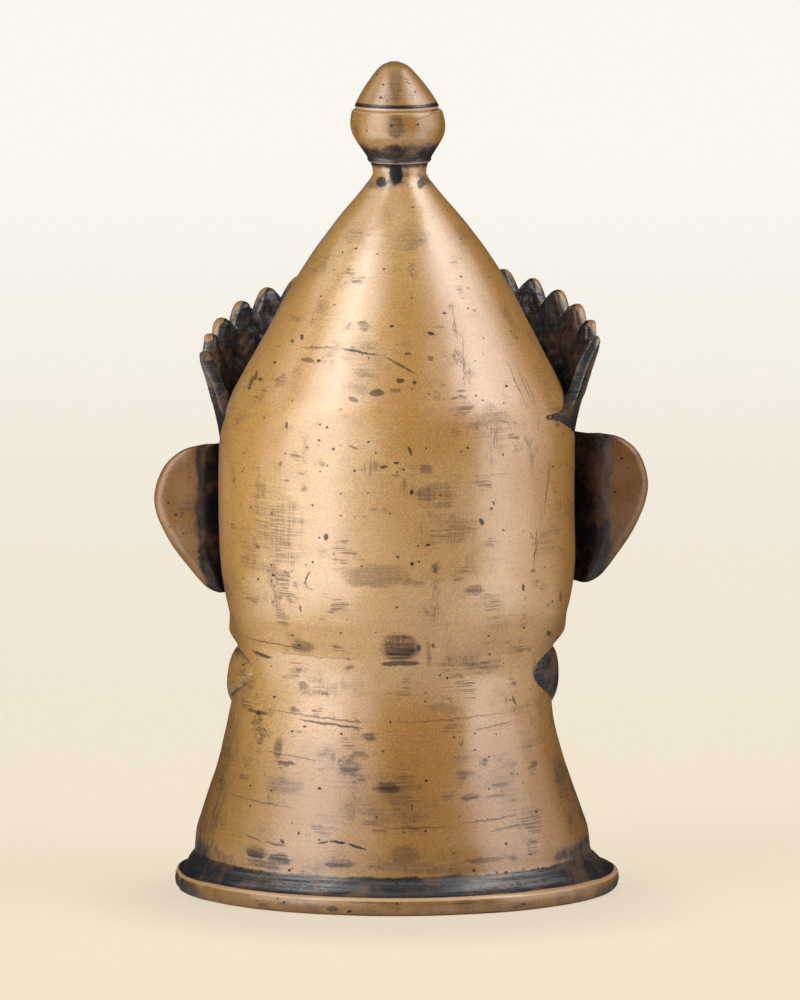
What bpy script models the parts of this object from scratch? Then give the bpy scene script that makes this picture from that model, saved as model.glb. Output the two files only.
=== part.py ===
"""Mukhalinga: a hollow brass cover for a linga, cast in one with a crowned face.

The cover is a turned shell with a flanged foot, a narrow neck, a round head and a
pointed cap that ends in a bud. Cast on it are a face, a toothed tiara that stands
clear of the cap, two ears and a double collar. It is open below and hollow inside.

Metres, +Z up. The face looks along -Y and the underside of the flange is at Z = 0.
"""

import math

import bmesh
import bpy
from mathutils import Vector

# Heights of the zones, stacked from the underside of the flange upwards
FLANGE_THICKNESS = 0.008
FLARE_HEIGHT = 0.088
HEAD_HEIGHT = 0.104
CAP_HEIGHT = 0.1165
BUD_HEIGHT = 0.0435

# Radii of the turned shell
FLANGE_RADIUS = 0.097
FOOT_RADIUS = 0.0868
NECK_RADIUS = 0.0682
HEAD_RADIUS = 0.0772
CAP_TIP_RADIUS = 0.0126
CAP_NIP_RADIUS = 0.0116
BUD_RADIUS = 0.0206
BUD_COLLAR_RADIUS = 0.0138

# The cast wall and the roll of metal where the shell meets the flange
WALL = 0.005
CAVITY_TIP_RADIUS = 0.010
ROLL_RISE = 0.0055
ROLL_REACH = 0.004

# The face, with heights above the neck's narrowest level
CHIN_DROP = 0.019
JAW_RISE = 0.029
JAW_ROUND = 0.010
MOUTH_HEIGHT = 0.016
NOSE_HEIGHT = 0.036
EYE_HEIGHT = 0.075
BROW_HEIGHT = 0.089
FACE_RADIUS = 0.0785
JAW_RADIUS = 0.0738
NOSE_DEPTH = 0.014
EYE_SPACING = 0.027
EYE_HALF_WIDTH = 0.0145
EYE_HALF_HEIGHT = 0.0062

# The tiara
TIARA_TOP = 0.0662
TIARA_FALL = 0.0309
TIARA_LEAN = 0.0106
TIARA_TUCK = 0.004
TIARA_THICKNESS = 0.0056
TIARA_END_RIGHT = math.radians(120)
TIARA_END_LEFT = math.radians(101)
BAND_END = math.radians(83)
TOOTH_PITCH_RIGHT = math.radians(10.8)
TOOTH_PITCH_LEFT = math.radians(11.15)
TEETH_EACH_SIDE = 8
TOOTH_DEPTH = 0.0080
CREST_RISE = 0.007
BAND_RELIEF = 0.0030
PETAL_RELIEF = 0.0014

# The ears
EAR_REACH = 0.0307
EAR_HEIGHT = 0.0652
EAR_THICKNESS = 0.0075
EAR_SETBACK = 0.011
EAR_WIDEST_SHARE = 0.64
EAR_SHIFT = -0.0020

# The collar
COLLAR_END = math.radians(119)
COLLAR_RISE = 0.0021
COLLAR_WIDTH = 0.0265
COLLAR_RELIEF_SIDE = 0.0046
COLLAR_RELIEF_FRONT = 0.0052
COLLAR_DROP = 0.042

# The casting is a little crooked: the tiara and ears sit higher on its own right
HAND_TILT = math.radians(1.7)

# Smoothness: steps round each turned form, and the share by which the steps of the
# shell crowd towards the face
SHELL_STEPS = 48
CROWDING = 0.42
FLANGE_STEPS = 36
CAVITY_STEPS = 24
BUD_STEPS = 16
JOIN_DEPTH = 0.004

# Levels worked out from the heights
NECK_LEVEL = FLANGE_THICKNESS + FLARE_HEIGHT
SHOULDER_LEVEL = NECK_LEVEL + HEAD_HEIGHT
BUD_LEVEL = SHOULDER_LEVEL + CAP_HEIGHT
TIP_LEVEL = BUD_LEVEL + BUD_HEIGHT
CHIN_LEVEL = NECK_LEVEL - CHIN_DROP
MOUTH_LEVEL = NECK_LEVEL + MOUTH_HEIGHT
NOSE_LEVEL = NECK_LEVEL + NOSE_HEIGHT
EYE_LEVEL = NECK_LEVEL + EYE_HEIGHT
BROW_LEVEL = NECK_LEVEL + BROW_HEIGHT

# Outlines as (share of the zone's height, share of the zone's change of radius)
FLARE_SHAPE = ((0, 1), (0.19, 0.92), (0.28, 0.79), (0.40, 0.60), (0.54, 0.375), (0.74, 0.15), (1, 0))
HEAD_SHAPE = ((0.11, 0.09), (0.18, 0.34), (0.26, 0.66), (0.375, 0.91), (0.47, 1), (0.9, 1), (1, 0.93))
CAP_SHAPE = (
    (0.11, 0.945), (0.21, 0.855), (0.365, 0.705), (0.52, 0.560),
    (0.66, 0.405), (0.77, 0.262), (0.813, 0.200), (0.865, 0.120), (0.905, 0.062),
)
NIP_SHARE = 0.955

# The bud's outline as (share of its height, share of its radius)
BUD_SHAPE = (
    (0.05, 0.68), (0.19, 0.87), (0.275, 0.965), (0.365, 1.0), (0.45, 0.98), (0.515, 0.935),
    (0.53, 0.865), (0.552, 0.885), (0.62, 0.825), (0.745, 0.66), (0.885, 0.432), (0.965, 0.26),
)

# How far an ear reaches, as (share of its height, share of its reach)
EAR_SHAPE = (
    (0, 0.12), (0.02, 0.22), (0.06, 0.33), (0.19, 0.55), (0.33, 0.76), (0.475, 0.915), (0.56, 0.975),
    (0.65, 1), (0.76, 0.96), (0.863, 0.86), (0.93, 0.725), (0.98, 0.53), (1, 0.30),
)

# Sideways drift of the shell's axis from the flange's centre, as (level, drift)
AXIS_DRIFT = (
    (0, 0.0019), (0.5 * NECK_LEVEL, 0.0024), (0.76 * NECK_LEVEL, 0.0028), (NECK_LEVEL, 0.0016),
    (NECK_LEVEL + 0.25 * HEAD_HEIGHT, -0.0004), (NECK_LEVEL + 0.75 * HEAD_HEIGHT, 0.0004),
    (SHOULDER_LEVEL + 0.4 * CAP_HEIGHT, -0.0012), (BUD_LEVEL, -0.0009), (TIP_LEVEL, 0.0013),
)

BRASS_COLOUR = (0.56, 0.36, 0.16, 1)
BRASS_ROUGHNESS = 0.34


def curve_through(points, at):
    """Value at a position on a smooth curve through rising (position, value) points."""
    at = min(max(at, points[0][0]), points[-1][0])
    last = len(points) - 1
    k = next(i for i in range(last) if at <= points[i + 1][0])

    def slope(i):
        before, after = points[max(i - 1, 0)], points[min(i + 1, last)]
        return (after[1] - before[1]) / (after[0] - before[0])

    (x0, y0), (x1, y1) = points[k], points[k + 1]
    width = x1 - x0
    t = (at - x0) / width
    return (
        y0 * (2 * t**3 - 3 * t**2 + 1)
        + slope(k) * width * (t**3 - 2 * t**2 + t)
        + y1 * (3 * t**2 - 2 * t**3)
        + slope(k + 1) * width * (t**3 - t**2)
    )


def ease(t):
    """Rises smoothly from 0 to 1 as t does."""
    t = min(max(t, 0), 1)
    return t * t * (3 - 2 * t)


def hump(*offsets):
    """A round hump of height 1 that falls off with each offset given in widths."""
    return math.exp(-sum(offset * offset for offset in offsets))


def shell_outline():
    """(level, radius) points of the turned shell from the flange up to the bud."""
    points = [
        (FLANGE_THICKNESS + share * FLARE_HEIGHT, NECK_RADIUS + swell * (FOOT_RADIUS - NECK_RADIUS))
        for share, swell in FLARE_SHAPE
    ]
    points += [
        (NECK_LEVEL + share * HEAD_HEIGHT, NECK_RADIUS + swell * (HEAD_RADIUS - NECK_RADIUS))
        for share, swell in HEAD_SHAPE
    ]
    points += [
        (SHOULDER_LEVEL + share * CAP_HEIGHT, CAP_NIP_RADIUS + swell * (HEAD_RADIUS - CAP_NIP_RADIUS))
        for share, swell in CAP_SHAPE
    ]
    points.append((SHOULDER_LEVEL + NIP_SHARE * CAP_HEIGHT, CAP_NIP_RADIUS))
    points.append((BUD_LEVEL, CAP_TIP_RADIUS))
    return points


SHELL_OUTLINE = shell_outline()


def shell_radius(level):
    return curve_through(SHELL_OUTLINE, level)


def drift(level):
    return curve_through(AXIS_DRIFT, level)


def on_shell(angle, radius, level):
    """Point at an angle from the face, positive towards +X, about the shell's own axis."""
    return Vector((radius * math.sin(angle) + drift(level), -radius * math.cos(angle), level))


def face_relief(angle, level):
    """How far the face stands out from the turned shell. Sizes here are in millimetres."""
    side = abs(angle)
    turned = shell_radius(level)
    jaw_level = CHIN_LEVEL + JAW_RISE * (1 - math.cos(min(side, math.pi / 2)))
    inside = ease((level - jaw_level) / JAW_ROUND) * ease((math.radians(96) - side) / math.radians(14))
    inside *= ease((SHOULDER_LEVEL + 0.012 - level) / 0.016)
    cheek = JAW_RADIUS + (FACE_RADIUS - JAW_RADIUS) * ease(1 - side / math.radians(88))
    mass = inside * max(0, cheek - turned)

    across = 1000 * side * HEAD_RADIUS
    over_mouth, over_nose, over_eye, over_brow = (
        1000 * (level - feature) for feature in (MOUTH_LEVEL, NOSE_LEVEL, EYE_LEVEL, BROW_LEVEL)
    )
    bridge = 1000 * (BROW_LEVEL - NOSE_LEVEL)
    down_nose = min(max((bridge - over_nose) / bridge, 0), 1)
    nose = (1.5 + (1000 * NOSE_DEPTH - 1.5) * down_nose**1.3) * ease((over_nose + 3) / 5)
    carved = (
        nose * ease((bridge + 2 - over_nose) / 10) * hump(across / (4.5 + 4 * down_nose))
        + 6 * hump((across - 9.5) / 4.6, (over_nose - 3.5) / 4.5)
        + 1.6 * hump((across - 24) / 20, (over_brow + 1) / 6)
        - 2.6 * hump((across - 1000 * EYE_SPACING) / 14, over_eye / 9)
        + 2.6 * hump((across - 40) / 19, (over_nose - 14) / 15)
        + 3.6 * hump(across / 20, over_mouth / 12)
        - 1.8 * hump(across / 14, (over_mouth + 11.5) / 4)
        + 4.6 * hump(across / 13, (over_mouth + 22) / 8)
    )
    return mass + 0.001 * carved * inside


def surface_radius(angle, level):
    return shell_radius(level) + face_relief(angle, level)


def mesh_object(name, bm):
    """Closes a bmesh into an object of plain triangles with its faces turned outwards."""
    bmesh.ops.remove_doubles(bm, verts=bm.verts, dist=1e-6)
    bmesh.ops.triangulate(bm, faces=bm.faces)
    bmesh.ops.recalc_face_normals(bm, faces=bm.faces)
    mesh = bpy.data.meshes.new(name)
    bm.to_mesh(mesh)
    bm.free()
    return bpy.data.objects.new(name, mesh)


def spun(name, outline, steps, place):
    """Turns (level, radius) points about Z. Each vertex is then put where place says."""
    bm = bmesh.new()
    ends = [(outline[0][0], 0), *outline, (outline[-1][0], 0)]
    line = [bm.verts.new((0, -radius, level)) for level, radius in ends]
    for low, high in zip(line, line[1:]):
        bm.edges.new((low, high))
    bmesh.ops.spin(
        bm, geom=bm.verts[:] + bm.edges[:], axis=(0, 0, 1), cent=(0, 0, 0),
        steps=steps, angle=2 * math.pi, use_merge=True,
    )
    bmesh.ops.remove_doubles(bm, verts=bm.verts, dist=1e-7)
    for vertex in bm.verts:
        x, y, level = vertex.co
        vertex.co = place(math.atan2(x, -y), math.hypot(x, y), level)
    return mesh_object(name, bm)


def loft(name, sections):
    """Skins closed sections of equal point count, one after another, with flat ends."""
    bm = bmesh.new()
    rings = [[bm.verts.new(point) for point in section] for section in sections]
    for low, high in zip(rings, rings[1:]):
        for k in range(len(low)):
            bm.faces.new((low[k - 1], low[k], high[k], high[k - 1]))
    bm.faces.new(rings[0])
    bm.faces.new(rings[-1])
    return mesh_object(name, bm)


def spread(start, end, count):
    return [start + (end - start) * k / count for k in range(count + 1)]


def shell_body():
    """The solid shell with its face, from inside the flange to inside the bud."""
    levels = spread(FLANGE_THICKNESS / 2, CHIN_LEVEL - 0.010, 5)
    levels += spread(CHIN_LEVEL - 0.002, NOSE_LEVEL - 0.003, 8)
    levels += spread(NOSE_LEVEL, BROW_LEVEL + 0.002, 10)
    levels += spread(BROW_LEVEL + 0.010, BUD_LEVEL, 13)[:-1] + [BUD_LEVEL + JOIN_DEPTH]

    def place(angle, radius, level):
        if radius == 0:
            return on_shell(0, 0, level)
        crowded = angle - CROWDING * math.sin(angle)
        return on_shell(crowded, surface_radius(crowded, level), level)

    return spun("shell_body", [(level, shell_radius(level)) for level in levels], SHELL_STEPS, place)


def flange():
    """The foot's flange, with the roll of metal that joins it to the shell."""
    roll_radius = FOOT_RADIUS + ROLL_REACH
    top = FLANGE_THICKNESS + ROLL_RISE
    outline = (
        (0, FLANGE_RADIUS - 0.0016),
        (0.0013, FLANGE_RADIUS - 0.0004),
        (0.45 * FLANGE_THICKNESS, FLANGE_RADIUS),
        (0.88 * FLANGE_THICKNESS, FLANGE_RADIUS - 0.0007),
        (FLANGE_THICKNESS, FLANGE_RADIUS - 0.0022),
        (FLANGE_THICKNESS + 0.0008, roll_radius + 0.0018),
        (FLANGE_THICKNESS + 0.5 * ROLL_RISE, roll_radius - 0.0004),
        (top - 0.0006, roll_radius - 0.0022),
        (top, FOOT_RADIUS - 0.7 * WALL),
    )

    def place(angle, radius, level):
        nearness = min(max((FLANGE_RADIUS - radius) / (FLANGE_RADIUS - FOOT_RADIUS), 0), 1)
        return Vector((radius * math.sin(angle) + nearness * drift(level), -radius * math.cos(angle), level))

    return spun("flange", outline, FLANGE_STEPS, place)


def bud():
    """The bud that ends the cap, with its thin collar below and the groove round it."""
    outline = [(BUD_LEVEL, BUD_COLLAR_RADIUS - 0.0006), (BUD_LEVEL + 0.0008, BUD_COLLAR_RADIUS)]
    outline += [(BUD_LEVEL + share * BUD_HEIGHT, swell * BUD_RADIUS) for share, swell in BUD_SHAPE]
    outline.append((TIP_LEVEL, 0.08 * BUD_RADIUS))
    return spun("bud", outline, BUD_STEPS, on_shell)


def cavity():
    """What the casting's core leaves hollow, kept one wall inside the turned outline."""
    def cavity_radius(level):
        slope = (shell_radius(level + 0.001) - shell_radius(level - 0.001)) / 0.002
        return shell_radius(level) - WALL * math.hypot(1, slope)

    top = BUD_LEVEL
    while cavity_radius(top) < CAVITY_TIP_RADIUS:
        top -= 0.001
    levels = spread(FLANGE_THICKNESS, NECK_LEVEL, 5) + spread(NECK_LEVEL, SHOULDER_LEVEL, 5)[1:]
    levels += spread(SHOULDER_LEVEL, top, 5)[1:]
    outline = [(-0.010, cavity_radius(FLANGE_THICKNESS))]
    outline += [(level, cavity_radius(level)) for level in levels]
    return spun("cavity", outline, CAVITY_STEPS, on_shell)


def tilted(point):
    """Raises a point on the casting's own right and lowers one on its left."""
    return point + Vector((0, 0, -math.tan(HAND_TILT) * point.x))


def tiara_end(angle):
    return TIARA_END_LEFT if angle > 0 else TIARA_END_RIGHT


def tooth_pitch(angle):
    return TOOTH_PITCH_LEFT if angle > 0 else TOOTH_PITCH_RIGHT


def tiara_foot(angle):
    """Level where the tiara leaves the shell: high on the brow, low over the ears."""
    side = abs(angle)
    dip = 0.011 * ease(side / math.radians(75))
    lift = 0.012 * ease((side - math.radians(84)) / (tiara_end(angle) - math.radians(84)))
    return SHOULDER_LEVEL + 0.005 - dip + lift


def tiara_rim(angle):
    """(level, radius) of the rim: a low crest, teeth, then a lip that dies into the shell."""
    side = abs(angle)
    pitch = tooth_pitch(angle)
    corner = pitch * TEETH_EACH_SIDE
    along = min(side, corner)
    level = SHOULDER_LEVEL + TIARA_TOP - TIARA_FALL * (1 - math.cos(along))
    level -= TOOTH_DEPTH * (1 - abs(math.cos(math.pi * along / pitch)))
    crest = hump(side / pitch)
    level += CREST_RISE * crest
    radius = HEAD_RADIUS + TIARA_LEAN - TIARA_TUCK * (math.cos(along) ** 4 + crest)
    if side > corner:
        fading = max(0, 1 - (side - corner) / (tiara_end(angle) - corner)) ** 2.2
        foot = tiara_foot(angle)
        level = foot + 0.002 + (level - 0.003 - foot) * fading
        radius = shell_radius(level) + (radius - shell_radius(level)) * fading
    return level, radius


def tiara_section(angle):
    foot = tiara_foot(angle)
    rim, rim_radius = tiara_rim(angle)
    foot_radius = shell_radius(foot)
    pitch = tooth_pitch(angle)
    ending = ease((BAND_END - abs(angle)) / pitch)
    petal = PETAL_RELIEF * abs(math.cos(math.pi * angle / pitch)) * ending

    def wall(share, relief):
        radius = foot_radius + (rim_radius - foot_radius) * share**1.3
        return on_shell(angle, radius + relief, foot + (rim - foot) * share)

    points = [
        on_shell(angle, foot_radius - JOIN_DEPTH, foot - 0.001),
        wall(0.01, 0.3 * BAND_RELIEF * ending),
        wall(0.08, BAND_RELIEF * ending),
        wall(0.26, BAND_RELIEF * ending),
        wall(0.34, 0),
        wall(0.66, petal),
        wall(1.0, -0.2 * TIARA_THICKNESS),
        wall(0.98, -TIARA_THICKNESS),
        wall(0.45, -TIARA_THICKNESS),
        on_shell(angle, foot_radius - TIARA_THICKNESS - JOIN_DEPTH, foot + 0.001),
    ]
    return [tilted(point) for point in points]


def tiara():
    """The toothed tiara, which stands clear of the cap and wraps three sides of it."""
    right_corner = TOOTH_PITCH_RIGHT * TEETH_EACH_SIDE
    left_corner = TOOTH_PITCH_LEFT * TEETH_EACH_SIDE
    angles = spread(-TIARA_END_RIGHT, -right_corner, 6)
    angles += spread(-right_corner, 0, 4 * TEETH_EACH_SIDE)[1:]
    angles += spread(0, left_corner, 4 * TEETH_EACH_SIDE)[1:]
    angles += spread(left_corner, TIARA_END_LEFT, 4)[1:]
    return loft("tiara", [tiara_section(angle) for angle in angles])


def ear_section(side, share):
    """One level slice of an ear: a rounded plate whose root turns forward to the head."""
    level = EYE_LEVEL + (share - EAR_WIDEST_SHARE) * EAR_HEIGHT
    reach = EAR_REACH * curve_through(EAR_SHAPE, share)
    end_taper = math.sqrt(max(0.06, 1 - (2 * share - 1) ** 6))
    half = EAR_THICKNESS / 2 * end_taper
    ridge = 0.33 * EAR_REACH

    def mid_depth(out):
        return -EAR_SETBACK - 0.010 * ease((ridge - out) / (ridge + JOIN_DEPTH)) + 0.0022 * ease(out / EAR_REACH)

    root = -1.6 * JOIN_DEPTH
    rim = reach - 0.6 * half
    bend = min(ridge, 0.6 * rim)
    hollow = 0.0022 * ease(reach / EAR_REACH) * end_taper
    outs = (root, 0.35 * bend, bend, 0.5 * (bend + rim), rim)
    back = [(out, mid_depth(out) + half) for out in outs]
    edge = [(reach, mid_depth(reach) + 0.35 * half), (reach, mid_depth(reach) - 0.5 * half)]
    front = [(out, mid_depth(out) - half) for out in reversed(outs)]
    front[1] = (front[1][0], front[1][1] + hollow)
    front[2] = (front[2][0], front[2][1] + hollow)
    return [
        tilted(Vector((side * (HEAD_RADIUS + out) + EAR_SHIFT + drift(level), depth, level)))
        for out, depth in back + edge + front
    ]


def ear(side):
    name = "ear_left" if side > 0 else "ear_right"
    shares = (0, 0.02, 0.07, 0.19, 0.33, 0.47, 0.6, 0.72, 0.82, 0.9, 0.96, 1.0)
    return loft(name, [ear_section(side, share) for share in shares])


def collar_section(angle):
    """Slice of the collar: two rolls that hug the shell and merge into one at the sides."""
    side = abs(angle)
    fading = math.sqrt(max(0.03, 1 - (side / COLLAR_END) ** 5))
    centre = NECK_LEVEL + COLLAR_RISE - COLLAR_DROP * (0.5 + 0.5 * math.cos(side)) ** 3.2
    width = COLLAR_WIDTH * fading
    relief = COLLAR_RELIEF_SIDE + (COLLAR_RELIEF_FRONT - COLLAR_RELIEF_SIDE) * ease(1 - side / COLLAR_END)
    relief *= fading
    merged = ease((side - math.radians(55)) / math.radians(40))
    profile = (
        (0.5, -0.3), (0.42, 0.7), (0.25, 1.0), (0.08, 0.45 + 0.6 * merged),
        (-0.12, 0.8 + 0.2 * merged), (-0.36, 0.65), (-0.5, -0.3),
    )
    points = []
    for across, height in profile:
        level = centre + across * width
        points.append(on_shell(angle, shell_radius(level) + height * relief, level))
    for across in (-0.5, 0.5):
        level = centre + across * width
        points.append(on_shell(angle, shell_radius(level) - JOIN_DEPTH, level))
    return points


def collar():
    return loft("collar", [collar_section(angle) for angle in spread(-COLLAR_END, COLLAR_END, 26)])


def lens(name, angle, level, half_width, half_height, proud, lean=0):
    """An almond boss on the face: a flattened ball pinched to a point at both ends."""
    bm = bmesh.new()
    bmesh.ops.create_uvsphere(bm, u_segments=10, v_segments=6, radius=1)
    ground = surface_radius(angle, level)
    for vertex in bm.verts:
        across, deep, up = vertex.co.y, vertex.co.z, vertex.co.x
        across, up = (up, across) if half_height > half_width else (across, up)
        along = up if half_height > half_width else across
        pinch = 1 - 0.55 * abs(along) ** 2.5
        wide = across * half_width * (pinch if half_height > half_width else 1)
        high = up * half_height * (1 if half_height > half_width else pinch)
        high += lean * wide
        vertex.co = on_shell(angle + wide / ground, ground + deep * proud, level + high)
    return mesh_object(name, bm)


def ridge(name, line, corners=6):
    """A raised ridge along (angle, level, half thickness) points on the face."""
    sections = []
    for angle, level, thick in line:
        ground = surface_radius(angle, level)
        sections.append([
            on_shell(angle, ground + 0.8 * thick * math.cos(turn), level + thick * math.sin(turn))
            for turn in spread(0, 2 * math.pi, corners)[:-1]
        ])
    return loft(name, sections)


def brow(side):
    line = []
    for share in spread(0, 1, 7):
        level = BROW_LEVEL - 0.004 + 0.0075 * math.sin(math.pi * (0.15 + 0.75 * share))
        thick = 0.0021 * math.sqrt(max(0.05, 1 - (2 * share - 0.8) ** 2 / 1.5))
        line.append((side * (0.010 + 0.040 * share) / HEAD_RADIUS, level, thick))
    return ridge("brow_left" if side > 0 else "brow_right", line)


def lip(name, centre, bow, half_width, thick):
    """A lip with its middle at a height above the mouth line and its ends curled up."""
    line = []
    for share in spread(-1, 1, 8):
        level = MOUTH_LEVEL + centre + bow * share * share + 0.0016 * share**4
        tapered = thick * math.sqrt(max(0.08, 1 - share * share))
        line.append((share * half_width / HEAD_RADIUS, level, tapered))
    return ridge(name, line)


def cast_material(name):
    material = bpy.data.materials.new(name)
    material.use_nodes = True
    shader = material.node_tree.nodes["Principled BSDF"]
    shader.inputs["Base Color"].default_value = BRASS_COLOUR
    shader.inputs["Metallic"].default_value = 1.0
    shader.inputs["Roughness"].default_value = BRASS_ROUGHNESS
    return material


def fuse(casting, piece, operation):
    """Adds or cuts a helper piece with a Boolean that stays live on the casting."""
    modifier = casting.modifiers.new(piece.name, "BOOLEAN")
    modifier.operation = operation
    modifier.solver = "EXACT"
    modifier.object = piece
    piece.hide_render = True
    piece.display_type = "WIRE"


def main():
    for old in list(bpy.data.objects):
        bpy.data.objects.remove(old)
    parts = bpy.data.collections.new("mukhalinga_parts")
    helpers = bpy.data.collections.new("joined_and_cut_shapes")
    for collection in (parts, helpers):
        bpy.context.scene.collection.children.link(collection)

    casting = shell_body()
    casting.name = casting.data.name = "mukhalinga"
    parts.objects.link(casting)
    casting.data.materials.append(cast_material("worn_brass"))

    eye_angle = EYE_SPACING / HEAD_RADIUS
    joined = [flange(), bud(), tiara(), collar()]
    for side in (-1, 1):
        hand = "left" if side > 0 else "right"
        joined.append(ear(side))
        joined.append(brow(side))
        joined.append(lens(
            f"eye_{hand}", side * eye_angle, EYE_LEVEL,
            EYE_HALF_WIDTH, EYE_HALF_HEIGHT, 0.0038, lean=0.08 * side,
        ))
    joined.append(lens("brow_eye", 0, BROW_LEVEL + 0.010, 0.0042, 0.0085, 0.0026))
    joined.append(lip("upper_lip", 0.0032, -0.0030, 0.0180, 0.0027))
    joined.append(lip("lower_lip", -0.0040, 0.0034, 0.0150, 0.0032))
    for piece in joined:
        helpers.objects.link(piece)
        fuse(casting, piece, "UNION")
    hollow = cavity()
    helpers.objects.link(hollow)
    fuse(casting, hollow, "DIFFERENCE")


main()
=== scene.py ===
"""The looks of a brass mukhalinga: a hollow cover for a linga, with a crowned face.

The photograph shows it from behind, so the camera stands behind it. Metres, +Z up. The
face looks along -Y.
"""

import math

import bmesh
import bpy
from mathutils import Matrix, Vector, noise
from mathutils.bvhtree import BVHTree


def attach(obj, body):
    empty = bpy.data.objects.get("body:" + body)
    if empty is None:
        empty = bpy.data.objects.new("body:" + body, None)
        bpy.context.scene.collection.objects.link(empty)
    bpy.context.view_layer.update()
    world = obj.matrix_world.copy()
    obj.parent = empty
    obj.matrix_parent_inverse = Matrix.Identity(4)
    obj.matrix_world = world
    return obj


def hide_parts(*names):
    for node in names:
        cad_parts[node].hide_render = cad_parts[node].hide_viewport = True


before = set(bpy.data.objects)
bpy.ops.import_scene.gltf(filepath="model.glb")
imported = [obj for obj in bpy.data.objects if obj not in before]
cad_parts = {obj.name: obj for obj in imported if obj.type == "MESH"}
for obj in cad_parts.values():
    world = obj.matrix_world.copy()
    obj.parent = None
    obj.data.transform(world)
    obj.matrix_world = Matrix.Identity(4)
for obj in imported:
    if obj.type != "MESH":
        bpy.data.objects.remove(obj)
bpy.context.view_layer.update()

# The turned shell, as in the part's source
FLANGE_THICKNESS = 0.008
FLARE_HEIGHT = 0.088
HEAD_HEIGHT = 0.104
CAP_HEIGHT = 0.1165
BUD_HEIGHT = 0.0435
FLANGE_RADIUS = 0.097
FOOT_RADIUS = 0.0868
NECK_RADIUS = 0.0682
HEAD_RADIUS = 0.0772
CAP_TIP_RADIUS = 0.0126
CAP_NIP_RADIUS = 0.0116
BUD_RADIUS = 0.0206
BUD_COLLAR_RADIUS = 0.0138
WALL = 0.005
CAVITY_TIP_RADIUS = 0.010
ROLL_REACH = 0.004
FILLET_TOP = 0.0145

# The face
CHIN_DROP = 0.019
JAW_RISE = 0.029
JAW_ROUND = 0.010
MOUTH_HEIGHT = 0.016
NOSE_HEIGHT = 0.036
EYE_HEIGHT = 0.075
BROW_HEIGHT = 0.089
FACE_RADIUS = 0.0785
JAW_RADIUS = 0.0738
NOSE_DEPTH = 0.014
EYE_SPACING = 0.027
EYE_HALF_WIDTH = 0.0145
EYE_HALF_HEIGHT = 0.0062

# The tiara
TIARA_TOP = 0.0662
TIARA_FALL = 0.0309
TIARA_LEAN = 0.0106
TIARA_TUCK = 0.004
TIARA_THICKNESS = 0.0056
TIARA_END_RIGHT = math.radians(120)
TIARA_END_LEFT = math.radians(101)
BAND_END = math.radians(83)
TOOTH_PITCH_RIGHT = math.radians(10.8)
TOOTH_PITCH_LEFT = math.radians(11.15)
TEETH_EACH_SIDE = 8
TOOTH_DEPTH = 0.0080
CREST_RISE = 0.007
BAND_RELIEF = 0.0030
PETAL_RELIEF = 0.0014
RIM_SHARE = 0.965

# The ears and the collar
EAR_REACH = 0.0307
EAR_HEIGHT = 0.0652
EAR_THICKNESS = 0.0075
EAR_SETBACK = 0.011
EAR_WIDEST_SHARE = 0.64
EAR_SHIFT = -0.0020
COLLAR_END = math.radians(119)
COLLAR_RISE = 0.0021
COLLAR_WIDTH = 0.0265
COLLAR_RELIEF_SIDE = 0.0046
COLLAR_RELIEF_FRONT = 0.0052
COLLAR_DROP = 0.042
HAND_TILT = math.radians(1.7)
JOIN_DEPTH = 0.004
COLLAR_FRONT_SHARE = 0.82

# Levels worked out from the heights
NECK_LEVEL = FLANGE_THICKNESS + FLARE_HEIGHT
SHOULDER_LEVEL = NECK_LEVEL + HEAD_HEIGHT
BUD_LEVEL = SHOULDER_LEVEL + CAP_HEIGHT
TIP_LEVEL = BUD_LEVEL + BUD_HEIGHT
CHIN_LEVEL = NECK_LEVEL - CHIN_DROP
MOUTH_LEVEL = NECK_LEVEL + MOUTH_HEIGHT
NOSE_LEVEL = NECK_LEVEL + NOSE_HEIGHT
EYE_LEVEL = NECK_LEVEL + EYE_HEIGHT
BROW_LEVEL = NECK_LEVEL + BROW_HEIGHT

# Fineness of the cast skin
SHELL_STEPS = 240
CROWDING = 0.60
FINE_ROW = 0.0009
PLAIN_ROW = 0.0024
TOOTH_STEPS = 14
CAST_WOBBLE = 0.00022
NAPE_LEVEL = 0.106
NAPE_FILL = 0.0013

# Looking for metal that is shut in by its neighbours
SHELTER_REACH = 0.034
SHELTER_RAYS = 40

# The camera and the sweep of floor, as in an 800 by 1000 picture
CAMERA_DISTANCE = 6.0
CAMERA_AZIMUTH = math.radians(180.5)
CAMERA_PITCH = math.radians(6.6)
CAMERA_LENS = 497.0
AIM = (-0.0012, 0, 0.1688)

# Outlines as (share of the zone's height, share of the zone's change of radius)
FLARE_SHAPE = ((0, 1), (0.19, 0.92), (0.28, 0.79), (0.40, 0.60), (0.54, 0.375), (0.74, 0.15), (1, 0))
HEAD_SHAPE = ((0.11, 0.09), (0.18, 0.34), (0.26, 0.66), (0.375, 0.91), (0.47, 1), (0.9, 1), (1, 0.93))
CAP_SHAPE = (
    (0.11, 0.945), (0.21, 0.855), (0.365, 0.705), (0.52, 0.560),
    (0.66, 0.405), (0.77, 0.262), (0.813, 0.200), (0.865, 0.120), (0.905, 0.062),
)
NIP_SHARE = 0.955
BUD_SHAPE = (
    (0.05, 0.68), (0.19, 0.87), (0.275, 0.965), (0.365, 1.0), (0.45, 0.98), (0.515, 0.935),
    (0.53, 0.865), (0.552, 0.885), (0.62, 0.825), (0.745, 0.66), (0.885, 0.432), (0.965, 0.26),
)
EAR_SHAPE = (
    (0, 0.12), (0.02, 0.22), (0.06, 0.33), (0.19, 0.55), (0.33, 0.76), (0.475, 0.915), (0.56, 0.975),
    (0.65, 1), (0.76, 0.96), (0.863, 0.86), (0.93, 0.725), (0.98, 0.53), (1, 0.30),
)
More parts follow.
